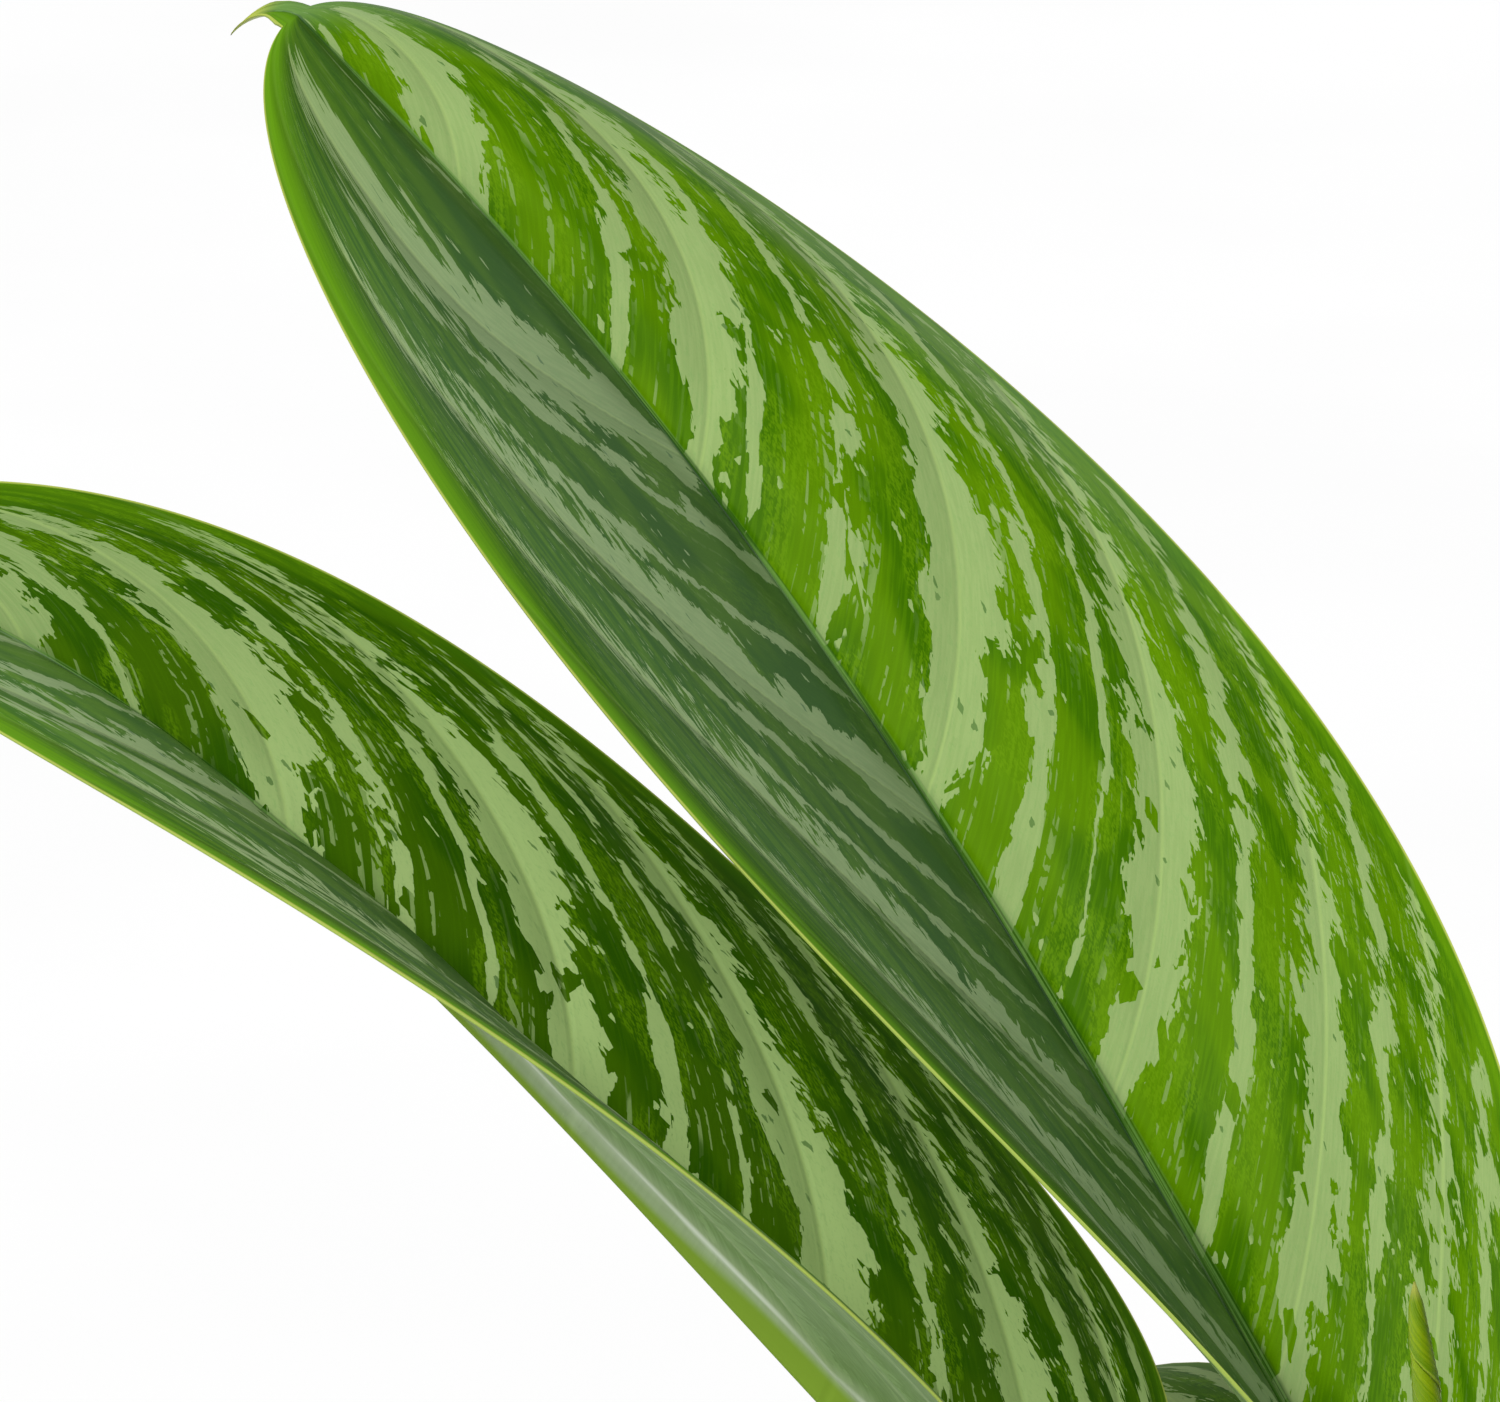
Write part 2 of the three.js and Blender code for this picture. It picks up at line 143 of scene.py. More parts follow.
def paint(red, green, blue):
    """a screen colour as the shader takes it"""
    shares = [value / 255 for value in (red, green, blue)]
    linear = [s / 12.92 if s <= 0.04045 else ((s + 0.055) / 1.055) ** 2.4 for s in shares]
    return (*linear, 1.0)


def own_place():
    """where a point lies in its piece, in metres"""
    return node("ShaderNodeTexCoord").outputs["Object"]


def mark(name, output="Vector"):
    """what a piece keeps on its corners under this name"""
    return node("ShaderNodeAttribute", attribute_name=name).outputs[output]


def split(triple):
    """the three numbers of a place, a colour or a mark"""
    return node("ShaderNodeSeparateXYZ", {0: triple}).outputs


def stretched(place, sizes):
    """place, counted in pieces of the given sizes"""
    sockets = {0: place, 1: tuple(1 / size for size in sizes)}
    return node("ShaderNodeVectorMath", sockets, operation="MULTIPLY").outputs[0]


def speckle(place, size, detail=2.0, roughness=0.5, space="3D"):
    """soft noise, whose size is in the unit of place"""
    sockets = {"Vector": place, "Scale": 1 / size, "Detail": detail, "Roughness": roughness}
    return node("ShaderNodeTexNoise", sockets, noise_dimensions=space).outputs["Fac"]


def bump(height, distance, strength=1.0):
    """the tilt of a surface with this relief, whose depth is in metres"""
    sockets = {"Height": height, "Distance": distance, "Strength": strength}
    return node("ShaderNodeBump", sockets).outputs[0]


def new_finish(name):
    """an empty material with its tree and shader"""
    finish = bpy.data.materials.new(name)
    finish.use_nodes = True
    return finish, finish.node_tree, finish.node_tree.nodes["Principled BSDF"]


# Grit is shared by the clay, the soil, the bark and the perlite: specks and pits of a
# grainy stuff.
grit = tree = bpy.data.node_groups.new("grit", "ShaderNodeTree")
for name, way in (("Size", "INPUT"), ("Specks", "OUTPUT"), ("Height", "OUTPUT")):
    grit.interface.new_socket(name, in_out=way, socket_type="NodeSocketFloat")
place = own_place()
scale = calc("DIVIDE", 1.0, node("NodeGroupInput").outputs["Size"])
cells = node("ShaderNodeTexVoronoi", {"Vector": place, "Scale": scale}).outputs["Distance"]
lumps = node("ShaderNodeTexNoise", {
    "Vector": place, "Scale": scale, "Detail": 5.0, "Roughness": 0.65}).outputs["Fac"]
node("NodeGroupOutput", {
    "Specks": rise(cells, 0.28, 0.1), "Height": less(lumps, times(cells, 0.35))})


def use_grit(size):
    """the grit of the material in work, for grains of a size in metres"""
    placed = node("ShaderNodeGroup", {"Size": size}, node_tree=grit)
    return placed.outputs["Specks"], placed.outputs["Height"]


bpy.ops.mesh.primitive_circle_add(vertices=POT_SIDES, radius=POT_FOOT * MM, location=(0, 0, 0))
pot = bpy.context.object
pot.name = "clay_pot"
open_mesh()
last_radius, last_height = POT_FOOT, 0.0
for radius, height in POT_RINGS:
    bpy.ops.mesh.extrude_region_move(
        TRANSFORM_OT_translate={"value": (0, 0, (height - last_height) * MM)})
    share = radius / last_radius
    bpy.ops.transform.resize(value=(share, share, 1), center_override=(0, 0, height * MM))
    last_radius, last_height = radius, height
close_mesh(fill=True)
for angle in DRAIN_ANGLES:
    x = DRAIN_CIRCLE * MM * math.cos(math.radians(angle))
    y = DRAIN_CIRCLE * MM * math.sin(math.radians(angle))
    bpy.ops.mesh.primitive_cylinder_add(
        vertices=32, radius=DRAIN_RADIUS * MM, depth=4 * POT_FLOOR * MM, location=(x, y, 0))
    drain = bpy.context.object
    bpy.context.view_layer.objects.active = pot
    cut = pot.modifiers.new("drain", "BOOLEAN")
    cut.object = drain
    cut.solver = "EXACT"
    bpy.ops.object.modifier_apply(modifier="drain")
    bpy.data.objects.remove(drain)
place_mesh(pot)
bpy.ops.object.shade_smooth_by_angle(angle=math.radians(32))

clay, tree, shader = new_finish("fired_clay")
place = own_place()
height = split(place)[2]
specks, pits = use_grit(0.0011)
clouds = speckle(place, 0.055, 4.0, 0.6)
washes = speckle(stretched(place, (1.0, 1.0, 3.0)), 0.018, 5.0, 0.65)
fired = blend(rise(clouds, 0.35, 0.65), paint(178, 98, 62), paint(201, 122, 80))
fired = blend(times(specks, 0.25), fired, paint(226, 160, 122))
# Lime creeps out of damp clay, low on the body and under the rim band.
low_lime = rise(height, 0.075, 0.02)
band_lime = times(rise(height, 0.118, 0.146), rise(height, 0.150, 0.147))
lime = times(larger(low_lime, band_lime), rise(washes, 0.42, 0.66))
fired = blend(times(lime, 0.55), fired, paint(226, 206, 188))
rim_wear = times(rise(height, 0.1855, 0.1895), rise(washes, 0.35, 0.6))
fired = blend(times(rim_wear, 0.6), fired, paint(216, 146, 108))
throwing_lines = calc("SINE", plus(times(height, 1450.0), times(clouds, 3.0)))
relief = plus(times(throwing_lines, 0.10), times(pits, 0.22))
feed(shader, {"Base Color": fired, "Roughness": rise(clouds, 0.3, 0.7, 0.78, 0.92),
              "Specular IOR Level": 0.3, "Normal": bump(relief, 0.001, 0.8)})
pot.data.materials.append(clay)
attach(pot, "root")
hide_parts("pot")


# SOIL: damp peat with fine crumbs, pressed round the canes and humped to the middle,
# with chips of bark and white beads of perlite lying loose in its surface.
SOIL_LEVEL = 164.0
SOIL_HUMP = 5.0
SOIL_EDGE = 96.0
SOIL_SIDES = 120
SOIL_STEPS = 40
SOIL_FOOT = 15.0
SOIL_TAPER = 0.7
CRUMB_COUNT = 620
BARK_COUNT = 70
PERLITE_COUNT = 110
POT_GAP = 3.0
LUMP_TILT = 0.9
loose = random.Random(17)


def soil_height(x, y):
    """the soil's level at a place, in millimetres"""
    share = min(1.0, math.hypot(x, y) / SOIL_EDGE)
    lumps = noise.fractal(Vector((x / 13, y / 13, 0.3)), 1.0, 2.1, 4)
    return SOIL_LEVEL + SOIL_HUMP * (1 - share * share) + 1.9 * lumps


bpy.ops.mesh.primitive_circle_add(vertices=SOIL_SIDES, radius=SOIL_EDGE * MM,
                                  location=(0, 0, SOIL_LEVEL * MM))
soil = bpy.context.object
soil.name = "peat_soil"
open_mesh()
for step in range(SOIL_STEPS, 1, -1):
    bpy.ops.mesh.extrude_region_move(TRANSFORM_OT_translate={"value": (0, 0, 0)})
    share = (step - 1) / step
    bpy.ops.transform.resize(value=(share, share, 1), center_override=(0, 0, SOIL_LEVEL * MM))
bpy.ops.mesh.merge(type="CENTER")
bpy.ops.mesh.select_all(action="DESELECT")
bpy.ops.mesh.select_non_manifold()
bpy.ops.mesh.extrude_region_move(
    TRANSFORM_OT_translate={"value": (0, 0, (SOIL_FOOT - SOIL_LEVEL) * MM)})
bpy.ops.transform.resize(value=(SOIL_TAPER, SOIL_TAPER, 1), center_override=(0, 0, SOIL_FOOT * MM))
close_mesh(fill=True)
place_mesh(soil)
for corner in soil.data.vertices:
    if corner.co.z > 0.9 * SOIL_LEVEL * MM:
        corner.co.z = soil_height(corner.co.x / MM, corner.co.y / MM) * MM
bpy.ops.object.shade_smooth_by_angle(angle=math.radians(60))

peat, tree, shader = new_finish("damp_peat")
specks, pits = use_grit(0.0016)
fibres = speckle(stretched(own_place(), (1.0, 0.3, 1.0)), 0.004, 6.0, 0.7)
earth = blend(rise(fibres, 0.35, 0.7), paint(34, 24, 18), paint(84, 62, 46))
earth = blend(times(specks, 0.3), earth, paint(112, 88, 66))
feed(shader, {"Base Color": earth, "Roughness": rise(fibres, 0.3, 0.7, 0.7, 0.98),
              "Specular IOR Level": 0.25, "Normal": bump(plus(times(pits, 1.4), fibres), 0.0012)})
soil.data.materials.append(peat)
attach(soil, "root")
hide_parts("soil")


def strew(name, count, sizes, flat, sink, finish, roughness):
    """scatters copies of one rough lump over the soil and joins them to one piece"""
    bpy.ops.mesh.primitive_ico_sphere_add(subdivisions=1, radius=MM, location=(0, 0, 0))
    lump = bpy.context.object
    for corner in lump.data.vertices:
        corner.co *= 1 + roughness * (loose.random() - 0.5)
    copies = []
    for _ in range(count):
        reach = (SOIL_EDGE - POT_GAP) * math.sqrt(loose.random())
        angle = 2 * math.pi * loose.random()
        x, y = reach * math.cos(angle), reach * math.sin(angle)
        size = sizes[0] + (sizes[1] - sizes[0]) * loose.random() ** 2
        copy = bpy.data.objects.new(name, lump.data.copy())
        bpy.context.collection.objects.link(copy)
        copy.scale = (size * (0.7 + 0.6 * loose.random()), size, size * flat)
        copy.rotation_euler = (LUMP_TILT * (loose.random() - 0.5),
                               LUMP_TILT * (loose.random() - 0.5), angle * 7)
        copy.location = (x * MM, y * MM, (soil_height(x, y) + size * sink) * MM)
        copies.append(copy)
    bpy.data.objects.remove(lump)
    pick(*copies)
    bpy.ops.object.join()
    joined = bpy.context.object
    joined.name = name
    place_mesh(joined)
    open_mesh()
    close_mesh()
    bpy.ops.object.shade_smooth_by_angle(angle=math.radians(50))
    joined.data.materials.append(finish)
    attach(joined, "root")


strew("soil_crumbs", CRUMB_COUNT, (0.9, 3.4), 0.7, 0.15, peat, 0.5)

bark, tree, shader = new_finish("bark_chip")
_, pits = use_grit(0.0012)
layers = speckle(stretched(own_place(), (1.0, 1.0, 0.25)), 0.0025, 4.0, 0.6)
chip = blend(rise(layers, 0.35, 0.65), paint(70, 42, 26), paint(128, 86, 56))
feed(shader, {"Base Color": chip, "Roughness": rise(layers, 0.3, 0.7, 0.7, 0.9),
              "Normal": bump(plus(pits, layers), 0.0008)})
strew("bark_chips", BARK_COUNT, (2.4, 5.2), 0.35, 0.2, bark, 0.7)

perlite, tree, shader = new_finish("perlite")
_, pits = use_grit(0.0009)
bead = blend(rise(pits, 0.25, 0.6), paint(196, 190, 178), paint(238, 236, 228))
feed(shader, {"Base Color": bead, "Roughness": 0.95, "Normal": bump(pits, 0.0006)})
strew("perlite_beads", PERLITE_COUNT, (0.8, 2.2), 0.85, 0.35, perlite, 0.45)


# LEAF PLAN: how each leaf stands. A leaf is a blade on a petiole, and the midrib's four
# points in millimetres give its line. The two large leaves of the picture come first.
# fold and curl are each half's angles at the base, the middle and the tip.
UPWARD = np.array([0.0, 0.0, 1.0])
STALK_HALF = 2.4
CANES = {
    "1": ((-22, -36), (-29, -39, 258)),
    "2": ((-38, 22), (-47, 27, 250)),
    "3": ((6, 42), (6, 48, 252)),
    "4": ((42, 6), (49, 8, 250)),
    "5": ((22, -42), (24, -50, 244)),
}
LARGE_LEAVES = {
    "1a": {
        "midrib": [(-60, -5, 386), (-92, 35, 437), (-133, 100, 503), (-201, 125, 565)],
        "half": 49, "fullness": (0.47, 0.49), "roll": (9, 13, 39),
        "fold": {1: (50, 32, 25), -1: (50, 32, 27)},
        "curl": {1: (-10, 28, 90), -1: (-30, 8, 20)},
    },
    "2a": {
        "midrib": [(-97, 35, 375), (-142, 50, 408), (-211, 60, 510), (-272, 70, 507)],
        "half": 48, "fullness": (0.47, 1.0), "roll": (3, 8, 48),
        "fold": {1: (40, 31, 30), -1: (40, 27, 36)},
        "curl": {1: (14, 12, 5), -1: (7, 1, 54)},
    },
}
# The others: compass direction, way out from the cane, height of the blade's base,
# length, slope at the base, and how far the leaf nods.
OTHER_LEAVES = {
    "1b": (-118, 58, 345, 235, 42, 62), "1c": (-80, 38, 380, 240, 58, 60),
    "1d": (-160, 72, 296, 215, 24, 48), "2b": (186, 70, 288, 220, 20, 44),
    "2c": (152, 62, 262, 200, 12, 40), "3a": (80, 40, 398, 250, 62, 58),
    "3b": (48, 62, 345, 236, 42, 62), "3c": (135, 56, 318, 225, 34, 84),
    "3d": (108, 60, 282, 205, 16, 46), "3e": (16, 16, 446, 238, 78, 62),
    "4a": (6, 62, 340, 238, 38, 60), "4b": (36, 40, 402, 250, 62, 60),
    "4c": (-34, 66, 300, 222, 24, 50), "4d": (-6, 32, 420, 246, 66, 56),
    "4e": (225, 26, 404, 210, 80, 32), "5a": (-52, 52, 376, 240, 50, 64),
    "5b": (-98, 66, 292, 215, 22, 50), "5c": (-22, 74, 252, 196, 10, 36),
    "5d": (-74, 24, 422, 236, 72, 52),
}
DRAW_STATE = 41


def draws(state):
    """the plant's own row of even draws between 0 and 1"""
    while True:
        state = (state * 1664525 + 1013904223) % 4294967296
        yield state / 4294967296


def direction(compass, pitch):
    """a step of one along a compass direction, climbing at a pitch"""
    return np.array([math.cos(pitch) * math.cos(compass), math.cos(pitch) * math.sin(compass),
                     math.sin(pitch)])


def unit(arrows):
    """these directions, each with a length of one"""
    return arrows / np.linalg.norm(arrows, axis=-1, keepdims=True)


def bent(points, t):
    """the place on a curve of four control points"""
    t = np.asarray(t, float)[..., None]
    a, b, c, d = (np.asarray(point, float) for point in points)
    return (1 - t) ** 3 * a + 3 * t * (1 - t) ** 2 * b + 3 * t * t * (1 - t) * c + t ** 3 * d


def heading(points, t):
    """the direction of that curve"""
    t = np.asarray(t, float)[..., None]
    a, b, c, d = (np.asarray(point, float) for point in points)
    return unit((1 - t) ** 2 * (b - a) + 2 * t * (1 - t) * (c - b) + t * t * (d - c))


def through(values, u):
    """the even change through a value at the base, the middle and the tip"""
    base, middle, tip = values
    return base * (1 - u) * (1 - 2 * u) + 4 * middle * u * (1 - u) + tip * u * (2 * u - 1)


def smooth(value, low, high):
    """the soft step from 0 at low to 1 at high"""
    share = np.clip((value - low) / (high - low), 0, 1)
    return share * share * (3 - 2 * share)


leaves = dict(LARGE_LEAVES)
draw = draws(DRAW_STATE)
for name, (compass, out, height, length, slope, nod) in OTHER_LEAVES.items():
    compass = math.radians(compass)
    turn = math.radians(14) * (next(draw) - 0.5)
    x, y, _ = CANES[name[0]][1]
    points = [np.array([x + out * math.cos(compass), y + out * math.sin(compass), height])]
    for step in range(3):
        pitch = math.radians(slope - nod * step / 2)
        points.append(points[-1] + direction(compass + turn * step, pitch) * length / 3)
    fold = 30 + 10 * next(draw)
    curl = 20 + 20 * next(draw)
    roll = 16 * (next(draw) - 0.5)
    folds = (fold + 12, fold, fold - 8)
    curls = (0, curl, curl + 10)
    leaves[name] = {
        "midrib": points, "half": length * (0.178 + 0.014 * next(draw)),
        "fullness": (0.5, 0.66), "roll": (0, roll, 1.6 * roll),
        "fold": {1: folds, -1: folds}, "curl": {1: curls, -1: curls},
    }


def midrib_frame(leaf, u):
    """the midrib's place, and the directions along it, across the blade and up from it"""
    along = heading(leaf["midrib"], u)
    level = unit(np.cross(along, UPWARD))
    raised = np.cross(level, along)
    roll = np.radians(through(leaf["roll"], u))[..., None]
    across = level * np.cos(roll) + raised * np.sin(roll)
    upward = raised * np.cos(roll) - level * np.sin(roll)
    return bent(leaf["midrib"], u), along, across, upward


# CANES AND PETIOLES: green canes ringed by the scars of fallen leaves, and on each cane
# the petioles of its leaves, which clasp it with a winged sheath and end in a slender,
# channelled stalk. They grow as one body.
CANE_FOOT = 96.0
CANE_RADII = (8.5, 6.0)
CANE_START = 150.0
RING_PITCH = 17.0
LOWEST_RING = 182.0
SHEATH_RADIUS = 6.2
PETIOLE_MIDDLE = 3.6
PETIOLE_TOP = 2.7
KEEL_DEPTH = 4.4


def corners_of(piece):
    corners = np.zeros(len(piece.data.vertices) * 3)
    piece.data.vertices.foreach_get("co", corners)
    return corners.reshape(-1, 3)


def keep_marks(piece, marks):
    """stores named numbers or triples on the corners of a piece, for its material"""
    for name, values in marks.items():
        kind, field = ("FLOAT_VECTOR", "vector") if values.ndim == 2 else ("FLOAT", "value")
        kept = piece.data.attributes.new(name, kind, "POINT")
        kept.data.foreach_set(field, np.ascontiguousarray(values, np.float32).ravel())


def rolled_bar(name, columns, rows, shape):
    """a grid bent round by its shape, with its seam joined and its two ends closed"""
    bpy.ops.mesh.primitive_grid_add(x_subdivisions=columns, y_subdivisions=rows, size=2)
    bar = bpy.context.object
    bar.name = name
    corners = corners_of(bar)
    places, marks = shape((corners[:, 0] + 1) / 2, (corners[:, 1] + 1) / 2)
    bar.data.vertices.foreach_set("co", (places * MM).ravel())
    keep_marks(bar, marks)
    open_mesh()
    bpy.ops.mesh.remove_doubles(threshold=0.01 * MM)
    close_mesh(fill=True)
    bpy.ops.object.shade_smooth_by_angle(angle=math.radians(50))
    return bar


def cane_shape(foot, top):
    low = np.array([*foot, CANE_FOOT], float)
    line = np.asarray(top, float) - low

    def shape(around, along):
        height = CANE_START + (top[2] - CANE_START) * np.minimum(1, along / 0.97)
        t = (height - CANE_FOOT) / (top[2] - CANE_FOOT)
        ring = np.maximum(0, np.cos(2 * np.pi * height / RING_PITCH)) ** 6
        ring *= height > LOWEST_RING - RING_PITCH / 2
        radius = CANE_RADII[0] + (CANE_RADII[1] - CANE_RADII[0]) * t + 0.8 * ring
        radius *= np.sqrt(np.maximum(0.02, 1 - np.maximum(0, (along - 0.97) / 0.03) ** 2))
        angle = 2 * np.pi * around
        places = low + line * t[:, None]
        places[:, 0] += radius * np.cos(angle)
        places[:, 1] += radius * np.sin(angle)
        strand = np.stack([30 * angle, height, np.full_like(angle, top[0])], 1)
        return places, {"strand": strand, "petiole": 0 * ring, "scar": ring}
    return shape


def petiole_curve(stem, leaf, level):
    """the route of a petiole, up from its cane and over into the line of its midrib"""
    foot, top = CANES[stem]
    low = np.array([*foot, CANE_FOOT], float)
    line = np.asarray(top, float) - low
    root = low + line * level
    place, along, _, upward = midrib_frame(leaf, np.float64(0.0))
    end = place - upward * KEEL_DEPTH / 2 - along * 0.3
    reach = 0.36 * np.linalg.norm(end - root)
    return [root, root + unit(line) * reach, end - along * reach, end], along


def petiole_shape(curve, tip_along, seed):
    side = unit(np.cross(tip_along, UPWARD))

    def shape(around, along):
        t = np.minimum(1, along / 0.975)
        ahead = heading(curve, t)
        across = unit(side - ahead * (ahead @ side)[:, None])
        inner = np.cross(across, ahead)
        sheath = smooth(t, 0.05, 0.45)
        lower = SHEATH_RADIUS + (PETIOLE_MIDDLE - SHEATH_RADIUS) * sheath
        upper = PETIOLE_MIDDLE + (PETIOLE_TOP - PETIOLE_MIDDLE) * t
        radius = np.where(t < 0.45, lower, np.minimum(lower, upper))
        radius = radius * (1 - 0.18 * np.clip((along - 0.93) / 0.07, 0, 1))
        angle = 2 * np.pi * around
        turned = np.abs((np.degrees(angle) - 90 + 180) % 360 - 180)
        groove = 0.42 * np.exp(-(turned / 30) ** 2) * np.clip(1.15 - t, 0, 1)
        wing = 1.7 * (1 - sheath) * np.exp(-((turned - 46) / 13) ** 2) * np.clip(t / 0.1, 0, 1)
        radius = radius * (1 - groove) + wing
        places = bent(curve, t) + across * (radius * np.cos(angle))[:, None]
        places += inner * (radius * np.sin(angle))[:, None]
        places += ahead * (60 * np.maximum(0, along - 0.975))[:, None]
        strand = np.stack([6 * angle, 140 * along, np.full_like(angle, seed)], 1)
        marks = {"strand": strand, "petiole": np.maximum(0.15, t), "scar": wing / 1.7}
        return places, marks
    return shape


stalk, tree, shader = new_finish("green_stalk")
strand = mark("strand")
petiole = mark("petiole", "Fac")
scar = mark("scar", "Fac")
streaks = speckle(stretched(strand, (1.0, 26.0, 1.0)), 2.4, 4.0, 0.6)
blotches = speckle(stretched(strand, (3.0, 9.0, 1.0)), 1.4, 3.0, 0.6)
on_cane = rise(petiole, 0.08, 0.02)
flesh = blend(rise(streaks, 0.35, 0.65), paint(112, 146, 58), paint(150, 178, 92))
flesh = blend(rise(petiole, 0.35, 0.95, 0.0, 0.75), flesh, paint(104, 150, 40))
pale_streak = times(rise(blotches, 0.56, 0.6), rise(petiole, 1.0, 0.2))
flesh = blend(times(pale_streak, 0.5), flesh, paint(188, 206, 150))
flesh = blend(times(on_cane, 0.55), flesh, paint(112, 138, 62))
woody = times(on_cane, rise(blotches, 0.5, 0.62))
flesh = blend(times(woody, 0.6), flesh, paint(142, 132, 92))
ring_mark = times(on_cane, rise(scar, 0.35, 0.9))
flesh = blend(times(ring_mark, 0.75), flesh, paint(150, 128, 92))
wing_mark = times(less(1.0, on_cane), rise(scar, 0.3, 0.8))
flesh = blend(times(wing_mark, 0.6), flesh, paint(186, 200, 132))
feed(shader, {"Base Color": flesh, "Roughness": rise(streaks, 0.3, 0.7, 0.36, 0.5),
              "Subsurface Weight": 0.12, "Subsurface Radius": (0.6, 1.0, 0.25),
              "Subsurface Scale": 0.0015,
              "Normal": bump(plus(streaks, times(blotches, 0.3)), 0.00035)})

for stem, (foot, top) in CANES.items():
    bars = [rolled_bar(f"stem_{stem}_stalks", 28, 110, cane_shape(foot, top))]
    own = [name for name in leaves if name[0] == stem]
    own.sort(key=lambda name: leaves[name]["midrib"][0][2])
    for rank, name in enumerate(own):
        level = 0.74 + 0.2 * rank / (len(own) - 1)
        curve, tip_along = petiole_curve(stem, leaves[name], level)
        shape = petiole_shape(curve, tip_along, 7.0 * rank)
        bars.append(rolled_bar(f"petiole_{name}", 24, 48, shape))
    pick(*bars)
    bpy.ops.object.join()
    cane = bpy.context.object
    cane.data.materials.append(stalk)
    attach(cane, "root")
    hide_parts(f"stem_{stem}")


# ROLLED YOUNG LEAVES: at three cane tips the next leaf still stands rolled to a spear,
# its outer margin wound round it in a long spiral. The first is the one in the picture.
SPEARS = {
    "1": ((-65.7, -45, 448), (-6, 0, 60), 5.0),
    "3": ((-6, 72, 462), (-3, 8, 80), 6.0),
    "4": ((42, 28, 442), (-3, 7, 70), 5.5),
}
SPEAR_WINDS = 1.15


def spear_shape(stem, tip, lean, radius):
    foot, top = CANES[stem]
    up_cane = unit(np.asarray(top, float) - np.array([*foot, CANE_FOOT], float))
    start = np.asarray(top, float) + up_cane * 0.3
    end = np.asarray(tip, float) + 1.2 * unit(np.asarray(lean, float))
    curve = [start, start + up_cane * 60, end - np.asarray(lean, float), end]

    def shape(around, along):
        along = 1 - (1 - along) ** 1.5
        to_tip = 3 * np.linalg.norm(lean) * (1 - along)
        swell = np.maximum(0, np.sin(np.pi * (0.2 + 0.8 * along))) ** (0.9 - 0.45 * along)
        width = 0.1 + radius * swell * (1 - 0.28 * along)
        width = np.minimum(width, 0.12 + 0.3 * to_tip)
        ahead = heading(curve, along)
        east = np.array([1.0, 0.0, 0.0])
        across = unit(east - ahead * (ahead @ east)[:, None])
        third = np.cross(across, ahead)
        wound = np.where(around < 0.94, around * 1.048, 0.985 + 0.25 * (around - 0.94))
        lap = 0.90 + 0.14 * np.where(wound < 0.985, wound, (1 - wound) / 0.015)
        turns = 0.27 - 1.2 * np.exp(-(to_tip / 12) ** 2) + SPEAR_WINDS * (1 - along)
        angle = 2 * np.pi * (wound - turns)
        ribs = 0.006 * np.sin(2 * np.pi * 9 * wound)
        radius_here = width * (lap + ribs)
        places = bent(curve, along) + across * (radius_here * np.cos(angle))[:, None]
        places += third * (radius_here * np.sin(angle))[:, None]
        marks = {"roll": np.stack([wound, along, np.full_like(along, radius)], 1)}
        return places, marks
    return shape


young, tree, shader = new_finish("young_leaf")
roll = mark("roll")
wound, along, _ = split(roll)
veins = speckle(stretched(roll, (0.035, 1.6, 1.0)), 1.0, 3.0, 0.55)
bands = speckle(stretched(roll, (0.22, 0.4, 1.0)), 1.0, 2.0, 0.5)
fresh = blend(rise(veins, 0.3, 0.7), paint(112, 146, 1), paint(138, 164, 4))
fresh = blend(times(rise(bands, 0.5, 0.62), 0.45), fresh, paint(88, 130, 2))
fresh = blend(rise(along, 0.986, 0.999, 0.0, 0.8), fresh, paint(196, 196, 96))
lap_edge = rise(wound, 0.955, 0.975)
fresh = blend(times(lap_edge, 0.6), fresh, paint(170, 190, 60))
feed(shader, {"Base Color": fresh, "Roughness": rise(veins, 0.3, 0.7, 0.27, 0.36),
              "Specular IOR Level": 0.3, "Subsurface Weight": 0.05,
              "Subsurface Radius": (0.6, 1.0, 0.2), "Subsurface Scale": 0.0015,
              "Normal": bump(veins, 0.00015)})

for stem, (tip, lean, radius) in SPEARS.items():
    spear = rolled_bar(f"young_leaf_{stem}", 48, 90, spear_shape(stem, tip, lean, radius))
    spear.data.materials.append(young)
    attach(spear, "root")
    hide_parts(f"spear_{stem}")


# BLADES: leathery oval blades, half a millimetre thick, with a round keel under the
# midrib, side veins that sink into the upper face, and pale stripes along these veins.
LAMINA = 0.5
EDGE_ROUNDING = 0.4
# The skin swells by this much between the sunken veins, and rises from them this fast.
QUILT = 1.5
VALLEY = 3.4
WAVE = 0.9
RIB_GROOVE = 0.9
SWEEP = 0.32
DRIP_LENGTH = 10.0
DRIP_WIDTH = 2.3
DRIP_START = math.radians(28)
DRIP_BEND = math.radians(62)
DRIP_THICKNESS = 0.8
SMALL_STEP = 1e-4
STRIPE_PITCH = 43.0
# A blade is about this many times as long as half of it is wide.
SLENDERNESS = 5.4
